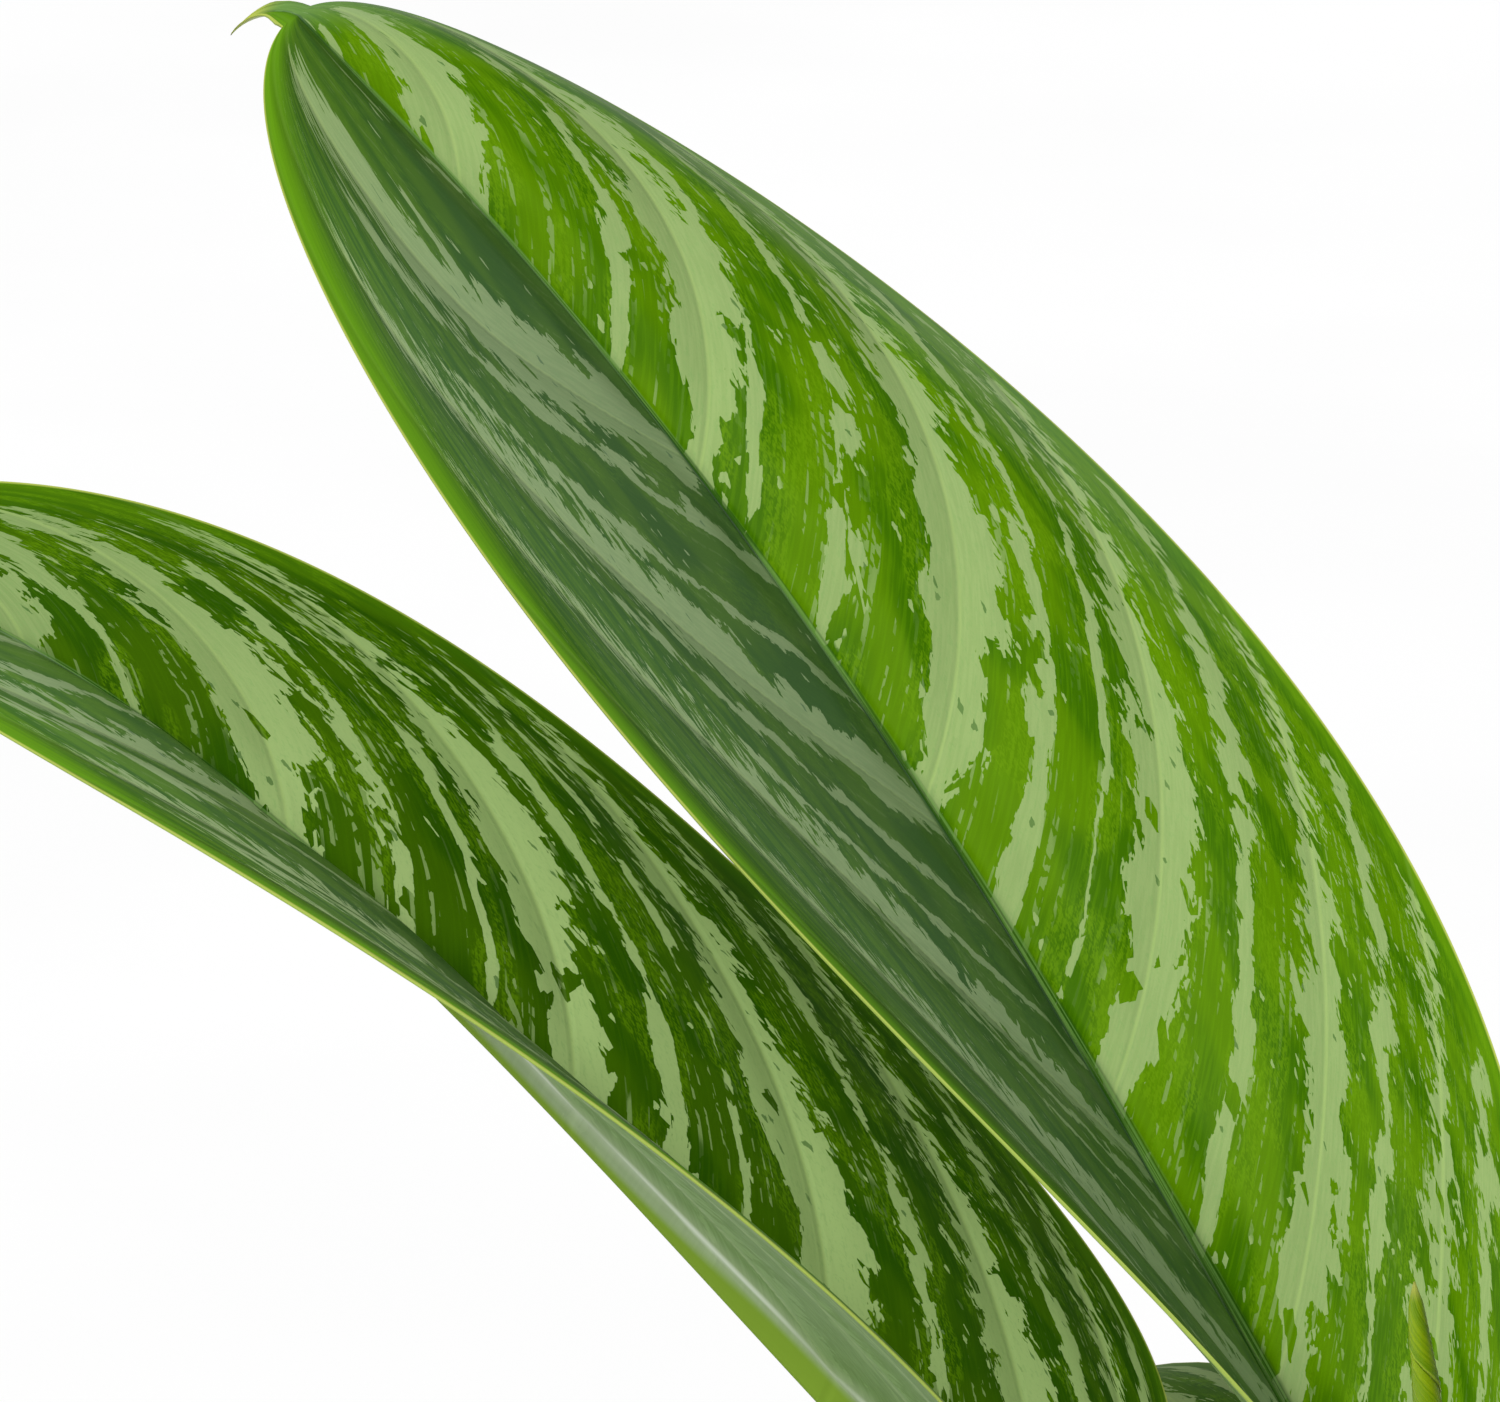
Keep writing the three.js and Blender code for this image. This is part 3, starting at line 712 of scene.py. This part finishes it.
# Where the stripes of the large leaves leave the midrib, as shares of its length from the
# base, and half their width in millimetres. The wide ones lie on sunken veins. The far
# half of a blade is its half 1, and the near half is -1.
STRIPES = {
    ("1a", 1): (
        {0.89: 5.3, 0.712: 4.0, 0.52: 4.8, 0.345: 3.8, 0.175: 3.4, 0.015: 3.4, -0.15: 3.4,
         -0.31: 3.6},
        {0.775: 1.0, 0.675: 0.8, 0.615: 1.9, 0.445: 1.8, 0.40: 0.6, 0.26: 1.1, 0.10: 0.9,
         -0.07: 1.1, -0.22: 1.2}),
    ("1a", -1): (
        {0.93: 0.6, 0.72: 5.0, 0.50: 4.3, 0.30: 3.3, 0.09: 3.2, -0.10: 3.2, -0.28: 3.0},
        {0.845: 0.5, 0.647: 1.9, 0.57: 1.0, 0.415: 1.1, 0.36: 0.7, 0.24: 1.2, 0.205: 0.7, 0.13: 0.8,
         0.0: 1.1, -0.05: 0.5, -0.19: 0.9}),
    ("2a", 1): (
        {0.79: 4.3, 0.615: 4.0, 0.42: 3.9, 0.235: 4.6, 0.055: 3.8, -0.12: 4.0, -0.29: 4.0},
        {0.91: 1.0, 0.72: 1.0, 0.53: 1.5, 0.48: 0.6, 0.345: 1.5, 0.30: 0.6, 0.15: 1.1, -0.03: 1.0,
         -0.20: 1.1}),
    ("2a", -1): (
        {0.78: 2.4, 0.60: 2.6, 0.41: 2.6, 0.22: 2.8, 0.04: 3.0, -0.14: 3.0, -0.31: 3.0},
        {0.68: 0.9, 0.51: 0.8, 0.31: 1.0, 0.13: 0.9, -0.05: 1.0, -0.22: 1.0}),
}
# How far the side veins of a half lean on towards the tip near its margin.
CREEP = {("1a", -1): 0.30, ("2a", -1): 0.20}
# Where the side veins of a half stop fanning out and run along to the tip together.
GATHERED = {("1a", -1): 0.80}
# How dark a half's green is, as painted shade, with 1 added where it carries a painted reflection
# as a grey bloom.
DARKER = {("1a", -1): 1.8, ("2a", 1): 0.95, ("2a", -1): 1.3}
# How light its cream is, as painted light and shade.
PALER = {("1a", 1): 0.4, ("1a", -1): 0.15, ("2a", 1): 1.0, ("2a", -1): 1.0}
# Tissue blocks are shorter along the veins on the halves that face down.
CRISP = {("1a", -1): 1.8, ("2a", -1): 1.5}
# How strongly the outermost part of a half bends back, and where that part begins.
REFLEX = {("2a", -1): 8.0}
REFLEX_START = 0.962
stripe_draw = random.Random(29)


def drawn_stripes(length):
    """stripes for a leaf that the picture doesn't show, in the same rhythm"""
    wide, thin = {}, {}
    start = 0.90 + 0.06 * stripe_draw.random()
    gap = STRIPE_PITCH / length
    while start > -0.40:
        wide[round(start, 3)] = 3.0 + 1.7 * stripe_draw.random()
        step = gap * (0.85 + 0.3 * stripe_draw.random())
        middle = start - step * (0.42 + 0.16 * stripe_draw.random())
        thin[round(middle, 3)] = 0.6 + 1.5 * stripe_draw.random() ** 1.5
        start -= step
    return wide, thin


def half_width(leaf, u):
    base, tip = leaf["fullness"]
    widest = base / (base + tip)
    peak = widest ** base * (1 - widest) ** tip
    full = leaf["half"] * u ** base * np.maximum(0, 1 - u) ** tip / peak
    return np.hypot(full, STALK_HALF * (1 - u))


def blade_surface(leaf, u, v):
    """the upper face without its relief, at u along the midrib and v across"""
    place, _, across, upward = midrib_frame(leaf, u)
    half = half_width(leaf, u)
    far = v >= 0
    side = np.where(far, 1.0, -1.0)
    fold, curl = (np.radians(np.where(far, through(leaf[part][1], u), through(leaf[part][-1], u)))
                  for part in ("fold", "curl"))
    curl = curl + 1e-6
    slope = fold - curl * np.abs(v)
    out = side * half * (np.sin(fold) - np.sin(slope)) / curl
    lift = half * (np.cos(slope) - np.cos(fold)) / curl
    return place + across * out[..., None] + upward * lift[..., None]


def spread_columns(count, rib, margin):
    """places across half a blade, close together at the midrib and at the margin"""
    middle = np.linspace(rib[-1], margin[0], count - len(rib) - len(margin) + 3)
    half = np.concatenate([rib[:-1], middle, margin[1:]])
    return np.concatenate([-half[:0:-1], half])


def stripe_marks(table, start, across):
    """the phase between the stripes of one family, their spacing and half their width"""
    starts = np.array(sorted(table))
    widths = np.array([table[key] for key in sorted(table)])
    gaps = np.diff(starts)
    phase = np.interp(start, starts, np.arange(len(starts)))
    phase = np.where(start < starts[0], (start - starts[0]) / gaps[0], phase)
    past = len(starts) - 1 + (start - starts[-1]) / gaps[-1]
    phase = np.where(start > starts[-1], past, phase)
    middles = np.concatenate([gaps[:1], (gaps[1:] + gaps[:-1]) / 2, gaps[-1:]])
    spacing = np.interp(phase, np.arange(len(starts)), middles) * across
    nearest = np.clip(np.round(phase), 0, len(starts) - 1).astype(int)
    return np.stack([phase, spacing, widths[nearest]], -1)


def striped_half(which, leaf, number, u, s, half, by_u, by_s):
    """the marks of one half of a blade, and how high its upper face swells"""
    name, half_side = which
    creep = CREEP.get(which, 0.05)
    wide, thin = STRIPES.get(which) or drawn_stripes(
        np.linalg.norm(np.diff(np.asarray(leaf["midrib"], float), axis=0), axis=1).sum())
    fanned = GATHERED.get(which, 1.0)
    gathered = fanned + 0.07 * (1 - np.exp(-np.maximum(0, u - fanned) / 0.07))
    reached = np.minimum(u, gathered)
    # A side vein starts on the midrib and has run this far towards the tip.
    start = reached - SWEEP * (0.45 * s + 0.55 * s ** 2.2) - creep * s ** 5
    run = SWEEP * (0.45 + 1.21 * s ** 1.2) + 5 * creep * s ** 4
    vein = by_s + by_u * run[..., None]
    vein_way = unit(vein)
    sideways = by_u - vein_way * (by_u * vein_way).sum(-1, keepdims=True)
    across = np.maximum(np.linalg.norm(sideways, axis=-1), 4.0)
    length = np.linalg.norm(vein, axis=-1) * s
    length = length * CRISP.get(which, 1.0) + (u - reached) * SLENDERNESS * leaf["half"]
    marks = {
        "wide": stripe_marks(wide, start, across),
        "thin": stripe_marks(thin, start, across),
        "place": np.stack([length + 137.0 * number,
                           start * 2.9 * leaf["half"] + 490.0 * half_side, s], -1),
        "tone_and_shade": np.full_like(u, DARKER.get(which, (number * 0.618) % 1.0)),
        "cream": np.full_like(u, PALER.get(which, (number * 0.382) % 1.0)),
    }
    # The cream of this leaf dims towards its tip as painted shade.
    if name == "2a":
        marks["cream"] *= 1 - 0.85 * smooth(u, 0.5, 0.85)
    phase, spacing, _ = np.moveaxis(marks["wide"], -1, 0)
    off_vein = np.abs(phase - np.round(phase)) * spacing
    bulge = 1 - np.exp(-(np.hypot(off_vein, 0.7) - 0.7) / VALLEY)
    bulge *= np.minimum(1, half / 30) * smooth(s, 0.02, 0.2) * (1 - smooth(s, 0.7, 1.0))
    turn = REFLEX.get(which, 0.0) * smooth(u, 0.02, 0.2) * smooth(u, 0.75, 0.5)
    marks["relief"] = QUILT * bulge - turn * half * np.maximum(0, s - REFLEX_START) ** 2
    return marks


def drip_tip(leaf, upper, last_half, v_line, count):
    """the rows in which the midrib runs on past the blade in a thin, bending point"""
    place, along, across, upward = midrib_frame(leaf, np.float64(1.0))
    level = unit(np.array([along[0], along[1], 0.0]))
    start = math.asin(along[2]) - DRIP_START
    arc = DRIP_LENGTH / DRIP_BEND
    last_row = (upper[-1] - upper[-1, len(v_line) // 2]) / last_half
    tops, bottoms = [], []
    for step in np.arange(1, count + 1) / count:
        pitch = start - DRIP_BEND * step
        centre = place + level * arc * (math.sin(start) - math.sin(pitch))
        centre = centre + UPWARD * arc * (math.cos(pitch) - math.cos(start))
        width = last_half + (DRIP_WIDTH - last_half) * min(1, step * 3)
        width *= 1 - 0.85 * step ** 2.4
        folded = across * (v_line * 0.7)[:, None]
        folded = folded + upward * (np.abs(v_line) * (0.95 - 0.3 * step))[:, None]
        carried = float(smooth(step, 0.0, 0.55))
        row = centre + width * (last_row * (1 - carried) + folded * carried)
        thick = DRIP_THICKNESS * (1 + (1 - np.abs(v_line) ** 2) * (1 - 0.4 * step))
        tops.append(row)
        bottoms.append(row - upward * (thick * (1 - 0.3 * step))[:, None])
    return tops, bottoms


def make_blade(name, leaf, number, rows, columns, rib, margin):
    drip_rows = 12 if rows > 100 else 6
    v_line = spread_columns(columns, rib, margin)
    u_line = 0.5 - 0.5 * np.cos(np.pi * np.arange(rows + 1) / (rows + 1.35 * rows / 60))
    u, v = np.meshgrid(u_line, v_line, indexing="ij")
    s = np.abs(v)
    half = half_width(leaf, u)
    rib_way = s * half
    edge_way = (1 - s) * half
    side = np.where(v >= 0, 1.0, -1.0)
    point = blade_surface(leaf, u, v)
    above, below = np.minimum(u + SMALL_STEP, 1), np.maximum(u - SMALL_STEP, 0)
    by_u = blade_surface(leaf, above, v) - blade_surface(leaf, below, v)
    by_u /= (above - below)[..., None]
    by_s = (blade_surface(leaf, u, side * (s + SMALL_STEP)) - point) / SMALL_STEP
    normal = unit(np.cross(by_s * side[..., None], by_u))

    far, near = (striped_half((name, half_side), leaf, number, u, s, half, by_u, by_s)
                 for half_side in (1, -1))
    marks = {kind: np.where(side > 0 if far[kind].ndim == 2 else side[..., None] > 0,
                            far[kind], near[kind]) for kind in far}
    relief = marks["relief"]
    if name not in LARGE_LEAVES:
        wave = WAVE * smooth(s, 0.45, 1.0) * np.minimum(1, half / 30)
        relief = relief + wave * np.sin(2 * np.pi * (3.1 * u + 0.37 * number + 0.25 * side))
    groove = RIB_GROOVE * (1 - 0.8 * u) * np.exp(-(rib_way / (1.3 - 0.85 * u)) ** 2)
    groove *= smooth(u, 0.0, 0.08) * (1 - smooth(u, 0.94, 1.0))
    upper = point + normal * (relief - groove)[..., None]
    keel = KEEL_DEPTH - 0.9 - (KEEL_DEPTH - 1.8) * u ** 0.7
    reach = 2.4 - 1.4 * u
    round_rib = 0.75 * np.sqrt(np.maximum(0, 1 - (rib_way / reach) ** 2))
    round_rib += 0.25 * np.exp(-(rib_way / (1.6 * reach)) ** 2)
    edge = np.maximum(0, 1 - edge_way / EDGE_ROUNDING)
    depth = LAMINA * np.sqrt(np.maximum(0.03, 1 - edge ** 2)) + keel * round_rib + groove * 0.6
    under = upper - normal * depth[..., None]
    tops, bottoms = drip_tip(leaf, upper, half[-1, 0], v_line, drip_rows)
    upper = np.concatenate([upper, tops])
    under = np.concatenate([under, bottoms])

    def run_on(mark):
        return np.concatenate([mark, np.repeat(mark[-1:], drip_rows, 0)])

    ahead = run_on(u)
    ahead[rows + 1:] = 1 + np.linspace(0.1, 1.0, drip_rows)[:, None]
    tone_and_shade = run_on(marks["tone_and_shade"])
    spot = run_on(np.stack([rib_way, edge_way, marks["cream"]], -1))

    bpy.ops.mesh.primitive_grid_add(x_subdivisions=len(v_line) - 1,
                                    y_subdivisions=len(upper) - 1, size=2)
    blade = bpy.context.object
    blade.name = f"leaf_{name}"
    open_mesh()
    bpy.ops.mesh.extrude_region_move(TRANSFORM_OT_translate={"value": (0, 0, -1)})
    close_mesh()
    corners = corners_of(blade)
    column = np.rint((corners[:, 0] + 1) / 2 * (len(v_line) - 1)).astype(int)
    row = np.rint((corners[:, 1] + 1) / 2 * (len(upper) - 1)).astype(int)
    beneath = corners[:, 2] < -0.5
    places = np.where(beneath[:, None], under[row, column], upper[row, column])
    blade.data.vertices.foreach_set("co", (places * MM).ravel())
    keep_marks(blade, {
        "wide": run_on(marks["wide"])[row, column],
        "thin": run_on(marks["thin"])[row, column],
        "place": run_on(marks["place"])[row, column],
        "spot": spot[row, column],
        "kind": np.stack([ahead[row, column], beneath.astype(float), tone_and_shade[row, column]], -1),
    })
    lay_flat(blade, row / (len(upper) - 1), column / (len(v_line) - 1), beneath)
    open_mesh()
    close_mesh()
    bpy.ops.object.shade_smooth()
    return blade


def lay_flat(blade, row, column, beneath):
    """the blade's own map: the upper face below the lower one, their rim in between"""
    flat = blade.data.uv_layers.active or blade.data.uv_layers.new()
    flat.name = "OFBake"
    corners = np.zeros(len(blade.data.loops), int)
    blade.data.loops.foreach_get("vertex_index", corners)
    starts, totals = np.zeros((2, len(blade.data.polygons)), int)
    blade.data.polygons.foreach_get("loop_start", starts)
    blade.data.polygons.foreach_get("loop_total", totals)
    lower = beneath[corners].astype(float)
    share = np.repeat(np.add.reduceat(lower, starts) / totals, totals)
    x = 0.01 + 0.98 * row[corners]
    y = np.where(share == 0, 0.01, 0.515) + 0.475 * column[corners]
    y = np.where((share > 0) & (share < 1), 0.496 + 0.008 * lower, y)
    flat.data.foreach_set("uv", np.stack([x, y], 1).astype(np.float32).ravel())


leaf_finish, tree, shader = new_finish("striped_leaf")
wide_phase, wide_gap, wide_half = split(mark("wide"))
thin_phase, thin_gap, thin_half = split(mark("thin"))
place = mark("place")
share_out = split(place)[2]
rib_way, edge_way, cream_share = split(mark("spot"))
ahead, beneath, tone_and_shade = split(mark("kind"))


def torn(along, across):
    """three random numbers for each small block of tissue, with its sizes in millimetres"""
    sockets = {"Vector": stretched(place, (along, across, 1.0)), "Scale": 1.0}
    return split(node("ShaderNodeTexVoronoi", sockets, distance="CHEBYCHEV",
                      voronoi_dimensions="2D").outputs["Color"])


def grown(along, across, detail=1.0, roughness=0.55):
    """soft noise laid along the veins, with its sizes in millimetres"""
    return speckle(stretched(place, (along, across, 1.0)), 1.0, detail, roughness, "2D")


def off_centre(phase, gap):
    """the way in millimetres to the middle of the nearest stripe of a family"""
    return times(calc("ABSOLUTE", less(phase, calc("ROUND", phase))), gap)


def stripe_depth(phase, gap, half, wander, tear, swell, share):
    """how far inside a stripe of a family a point is, in millimetres"""
    off = off_centre(plus(phase, calc("DIVIDE", wander, gap)), gap)
    room = calc("MINIMUM", half, times(gap, share))
    rough = times(tear, calc("MINIMUM", 1.0, times(room, 0.4)))
    crowded = rise(gap, 7.0, 3.5, 0.0, 0.8)
    return plus(less(less(times(room, swell), crowded), off), rough)


wander = times(less(grown(17.0, 17.0), 0.5), 2.6)
big_blocks = torn(4.2, 1.7)
small_blocks = torn(1.2, 0.55)
tear = plus(times(less(big_blocks[0], 0.5), 2.3), times(less(small_blocks[0], 0.5), 0.9))
# A wide stripe narrows on its way to the margin, and a thin one fades in and out.
wide_swell = times(rise(grown(21.0, 9.0), 0.3, 0.7, 0.7, 1.25),
                   rise(share_out, 0.42, 0.96, 1.0, 0.32))
thin_swell = rise(grown(40.0, 5.0), 0.36, 0.62, 0.35, 1.25)
wide_depth = stripe_depth(wide_phase, wide_gap, wide_half, wander, tear, wide_swell, 0.2)
thin_depth = stripe_depth(thin_phase, thin_gap, thin_half, wander, tear, thin_swell, 0.09)
# The stripes start narrow at the midrib and leave a green band free along the margin.
wide_depth = less(wide_depth, rise(rib_way, 6.0, 1.0, 0.0, 1.7))
thin_depth = less(thin_depth, rise(rib_way, 4.0, 0.5, 0.0, 0.4))
inside = larger(wide_depth, thin_depth)
reflecting_half = rise(tone_and_shade, 0.99, 1.01)
band_way = times(edge_way, rise(reflecting_half, 0.0, 1.0, 2.1, 1.0))
free_band = times(rise(band_way, 4.5, 1.2, 0.0, 3.6), rise(ahead, 0.82, 0.58, 0.12, 1.0))
inside = less(inside, free_band)
clouds = grown(20.0, 11.0)
island = times(rise(big_blocks[1], 0.97, 0.972), rise(clouds, 0.45, 0.55, 0.0, 4.5))
inside = less(inside, island)
fleck = times(rise(small_blocks[1], 0.985, 0.987), rise(clouds, 0.56, 0.48),
              rise(edge_way, 1.5, 3.5))
# Fine stippled hairlines run along the veins in the green.
hair = times(rise(grown(40.0, 0.85), 0.60, 0.64), rise(small_blocks[0], 0.48, 0.52),
             rise(clouds, 0.44, 0.56, 0.1, 0.65), rise(edge_way, 2.0, 5.0),
             rise(reflecting_half, 0.0, 1.0, 0.8, 0.2))
pale = larger(larger(rise(inside, -0.05, 0.06), fleck), hair)

# Between green and pale, the tissue is mottled where the green layer thins out.
zone = plus(grown(24.0, 6.5), rise(inside, -5.0, -0.2, 0.0, 0.09))
grains = plus(times(grown(2.4, 0.4, 3.0, 0.7), 0.65), times(grown(0.45, 0.45), 0.35))
calm = rise(reflecting_half, 0.0, 1.0, 1.0, 0.35)
mottle = times(rise(zone, 0.56, 0.64), rise(grains, 0.43, 0.58), calm)

# A whole part of the tone marks a half with a painted reflection, the rest is how dark its green
# is: painted shade on the halves in DARKER, a random tone on the others.
darkness = less(tone_and_shade, reflecting_half)
threads = grown(9.0, 0.4)
green = blend(rise(clouds, 0.36, 0.64), paint(56, 102, 1), paint(82, 125, 1))
green = blend(times(calm, rise(threads, 0.42, 0.68, 0.0, 0.22)), green, paint(98, 148, 4))
# On the halves in DARKER this darker green is painted shade.
green = blend(times(darkness, 0.57), green, paint(24, 60, 4))
green = blend(times(mottle, 0.5), green, paint(102, 146, 10))
cream = blend(rise(threads, 0.36, 0.66), paint(122, 147, 88), paint(132, 155, 96))
# cream_share lightens the cream: painted light and shade on the halves in PALER, a random share on
# the others.
cream = blend(cream_share, cream, paint(162, 188, 118))
cream = blend(rise(grains, 0.5, 0.66, 0.0, 0.3), cream, paint(120, 160, 92))
specks = rise(small_blocks[2], 0.992, 0.994)
cream = blend(times(specks, 0.7), cream, paint(58, 100, 42))
upper = blend(pale, green, cream)
vein_off = off_centre(wide_phase, wide_gap)
vein_line = times(rise(vein_off, 0.36, 0.06), rise(pale, 0.0, 1.0, 0.08, 0.3))
upper = blend(vein_line, upper, paint(168, 193, 114))
rib_half = rise(ahead, 0.0, 0.9, 1.5, 0.35)
rib_zone = rise(calc("DIVIDE", rib_way, rib_half), 1.0, 0.4)
rib_place = node("ShaderNodeCombineXYZ", {0: ahead, 1: rib_way, 2: darkness}).outputs[0]
rib_lines = speckle(stretched(rib_place, (0.12, 0.3, 0.2)), 1.0, 1.0, 0.6, "2D")
rib_tint = blend(rise(rib_lines, 0.4, 0.62), paint(30, 72, 18), paint(96, 136, 66))
upper = blend(times(rib_zone, 0.75), upper, rib_tint)
# Light shines through the thin margin, and its very edge is yellow.
glow_reach = rise(ahead, 0.6, 0.9, 3.2, 6.5)
edge_glow = times(rise(edge_way, glow_reach, 0.5), rise(reflecting_half, 0.0, 1.0, 0.25, 0.7))
upper = blend(edge_glow, upper, paint(104, 158, 20))
upper = blend(rise(edge_way, 0.38, 0.10), upper, paint(174, 188, 84))
# A painted reflection lies as a grey sheen along the margin towards the tip, and another as a grey
# bloom on the halves marked for it.
painted_sheen = times(rise(edge_way, 13.0, 3.0), rise(ahead, 0.45, 0.75), rise(tone_and_shade, 0.0, 0.9, 0.18, 0.0))
upper = blend(painted_sheen, upper, paint(150, 168, 150))
painted_bloom = times(reflecting_half, rise(edge_way, 1.5, 7.0, 0.15, 1.0), rise(ahead, 1.0, 0.8, 0.35, 1.0),
              rise(pale, 0.0, 1.0, 0.12, 0.24))
upper = blend(painted_bloom, upper, paint(120, 128, 136))

lower = blend(rise(threads, 0.36, 0.66), paint(112, 142, 84), paint(122, 152, 94))
lower = blend(times(pale, 0.3), lower, paint(156, 186, 126))
lower = blend(rise(vein_off, 0.7, 0.1, 0.0, 0.4), lower, paint(156, 180, 122))
# The keel is green where it is thick; the pale band and the bright silvery line at its side are a
# painted highlight.
past_keel = less(rib_way, rise(ahead, 0.22, 0.40, 2.6, 1.25))
lower = blend(rise(past_keel, 6.0, 0.3, 0.0, 0.55), lower, paint(178, 192, 158))
painted_keel_highlight = times(rise(past_keel, 0.2, 1.0), rise(past_keel, 2.3, 1.1),
               rise(clouds, 0.35, 0.6, 0.35, 0.8))
lower = blend(painted_keel_highlight, lower, paint(224, 232, 216))
lower = blend(rise(past_keel, 0.15, -0.6), lower, paint(126, 157, 52))
lower = blend(rise(edge_way, 0.6, 0.1), lower, paint(158, 178, 84))

skin = blend(beneath, upper, lower)
# Past the blade's end, ahead grows on to 2 along the yellow drip tip.
skin = blend(rise(ahead, 1.25, 1.8), skin, paint(182, 192, 86))
gloss = plus(rise(clouds, 0.3, 0.7, 0.34, 0.42), times(beneath, 0.12))
crease = times(rise(vein_off, 0.9, 0.0), -0.12)
feed(shader, {"Base Color": skin, "Roughness": gloss, "Specular IOR Level": 0.06,
              "Specular Tint": (0.7, 1.0, 0.2, 1.0), "Normal": bump(crease, 0.001)})

LARGE_RIB = np.array([0, 0.006, 0.013, 0.021, 0.03, 0.04, 0.052, 0.066, 0.082])
LARGE_MARGIN = np.array([0.985, 0.9915, 0.9945, 0.997, 0.9988, 1.0])
SMALL_RIB = np.array([0, 0.015, 0.035, 0.06, 0.1])
SMALL_MARGIN = np.array([0.95, 0.982, 0.992, 0.998, 1.0])
for number, (name, leaf) in enumerate(leaves.items()):
    if name in LARGE_LEAVES:
        blade = make_blade(name, leaf, number, 240, 60, LARGE_RIB, LARGE_MARGIN)
    else:
        blade = make_blade(name, leaf, number, 70, 20, SMALL_RIB, SMALL_MARGIN)
    blade.data.materials.append(leaf_finish)
    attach(blade, "root")
    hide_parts(f"blade_{name}")


# STUDIO: a wide pale floor, a soft key light high on the left, white surroundings, and
# the camera close to the upper leaves, looking down on them a little.
FLOOR_RADIUS = 7.0
FLOOR_LEVEL = -0.0005
KEY_STRENGTH = 2.8
KEY_SPREAD = 35
KEY_PLACE = (-1.3, -1.0, 1.9)
KEY_WAY = (0.42, 0.58, -0.70)
ROOM_LIGHT = 0.40
CAMERA_LENS = 211.2
CAMERA_PLACE = (-0.142, -1.0025, 0.7747)
CAMERA_PITCH = 75

bpy.ops.mesh.primitive_circle_add(vertices=128, radius=FLOOR_RADIUS, fill_type="NGON",
                                  location=(0, 0, FLOOR_LEVEL))
floor = bpy.context.object
floor.name = "studio_floor"
floor_finish, tree, shader = new_finish("pale_floor")
dust = rise(speckle(own_place(), 0.4, 3.0), 0.3, 0.7)
feed(shader, {"Base Color": blend(dust, (0.97, 0.97, 0.97, 1), (0.99, 0.99, 0.99, 1)),
              "Roughness": 0.9, "Specular IOR Level": 0.1})
floor.data.materials.append(floor_finish)

scene = bpy.context.scene
scene.view_settings.view_transform = "Standard"
scene.world = bpy.data.worlds.new("white_room")
scene.world.use_nodes = True
tree = scene.world.node_tree
seen = node("ShaderNodeLightPath").outputs["Is Camera Ray"]
# The room is plain white to the camera, and dimmer as a light.
feed(tree.nodes["Background"], {
    "Color": (1.0, 1.0, 1.0, 1.0), "Strength": rise(seen, 0.0, 1.0, ROOM_LIGHT, 1.0)})

key = bpy.data.lights.new("key_light", "SUN")
key.energy = KEY_STRENGTH
key.angle = math.radians(KEY_SPREAD)
lamp = bpy.data.objects.new("key_light", key)
scene.collection.objects.link(lamp)
lamp.location = KEY_PLACE
lamp.rotation_euler = Vector(KEY_WAY).to_track_quat("-Z", "Y").to_euler()

optics = bpy.data.cameras.new("camera")
optics.lens = CAMERA_LENS
optics.sensor_width = 36.0
optics.clip_start = 0.05
optics.clip_end = 60.0
camera = bpy.data.objects.new("camera", optics)
scene.collection.objects.link(camera)
camera.location = CAMERA_PLACE
camera.rotation_euler = (math.radians(CAMERA_PITCH), 0, 0)
scene.camera = camera
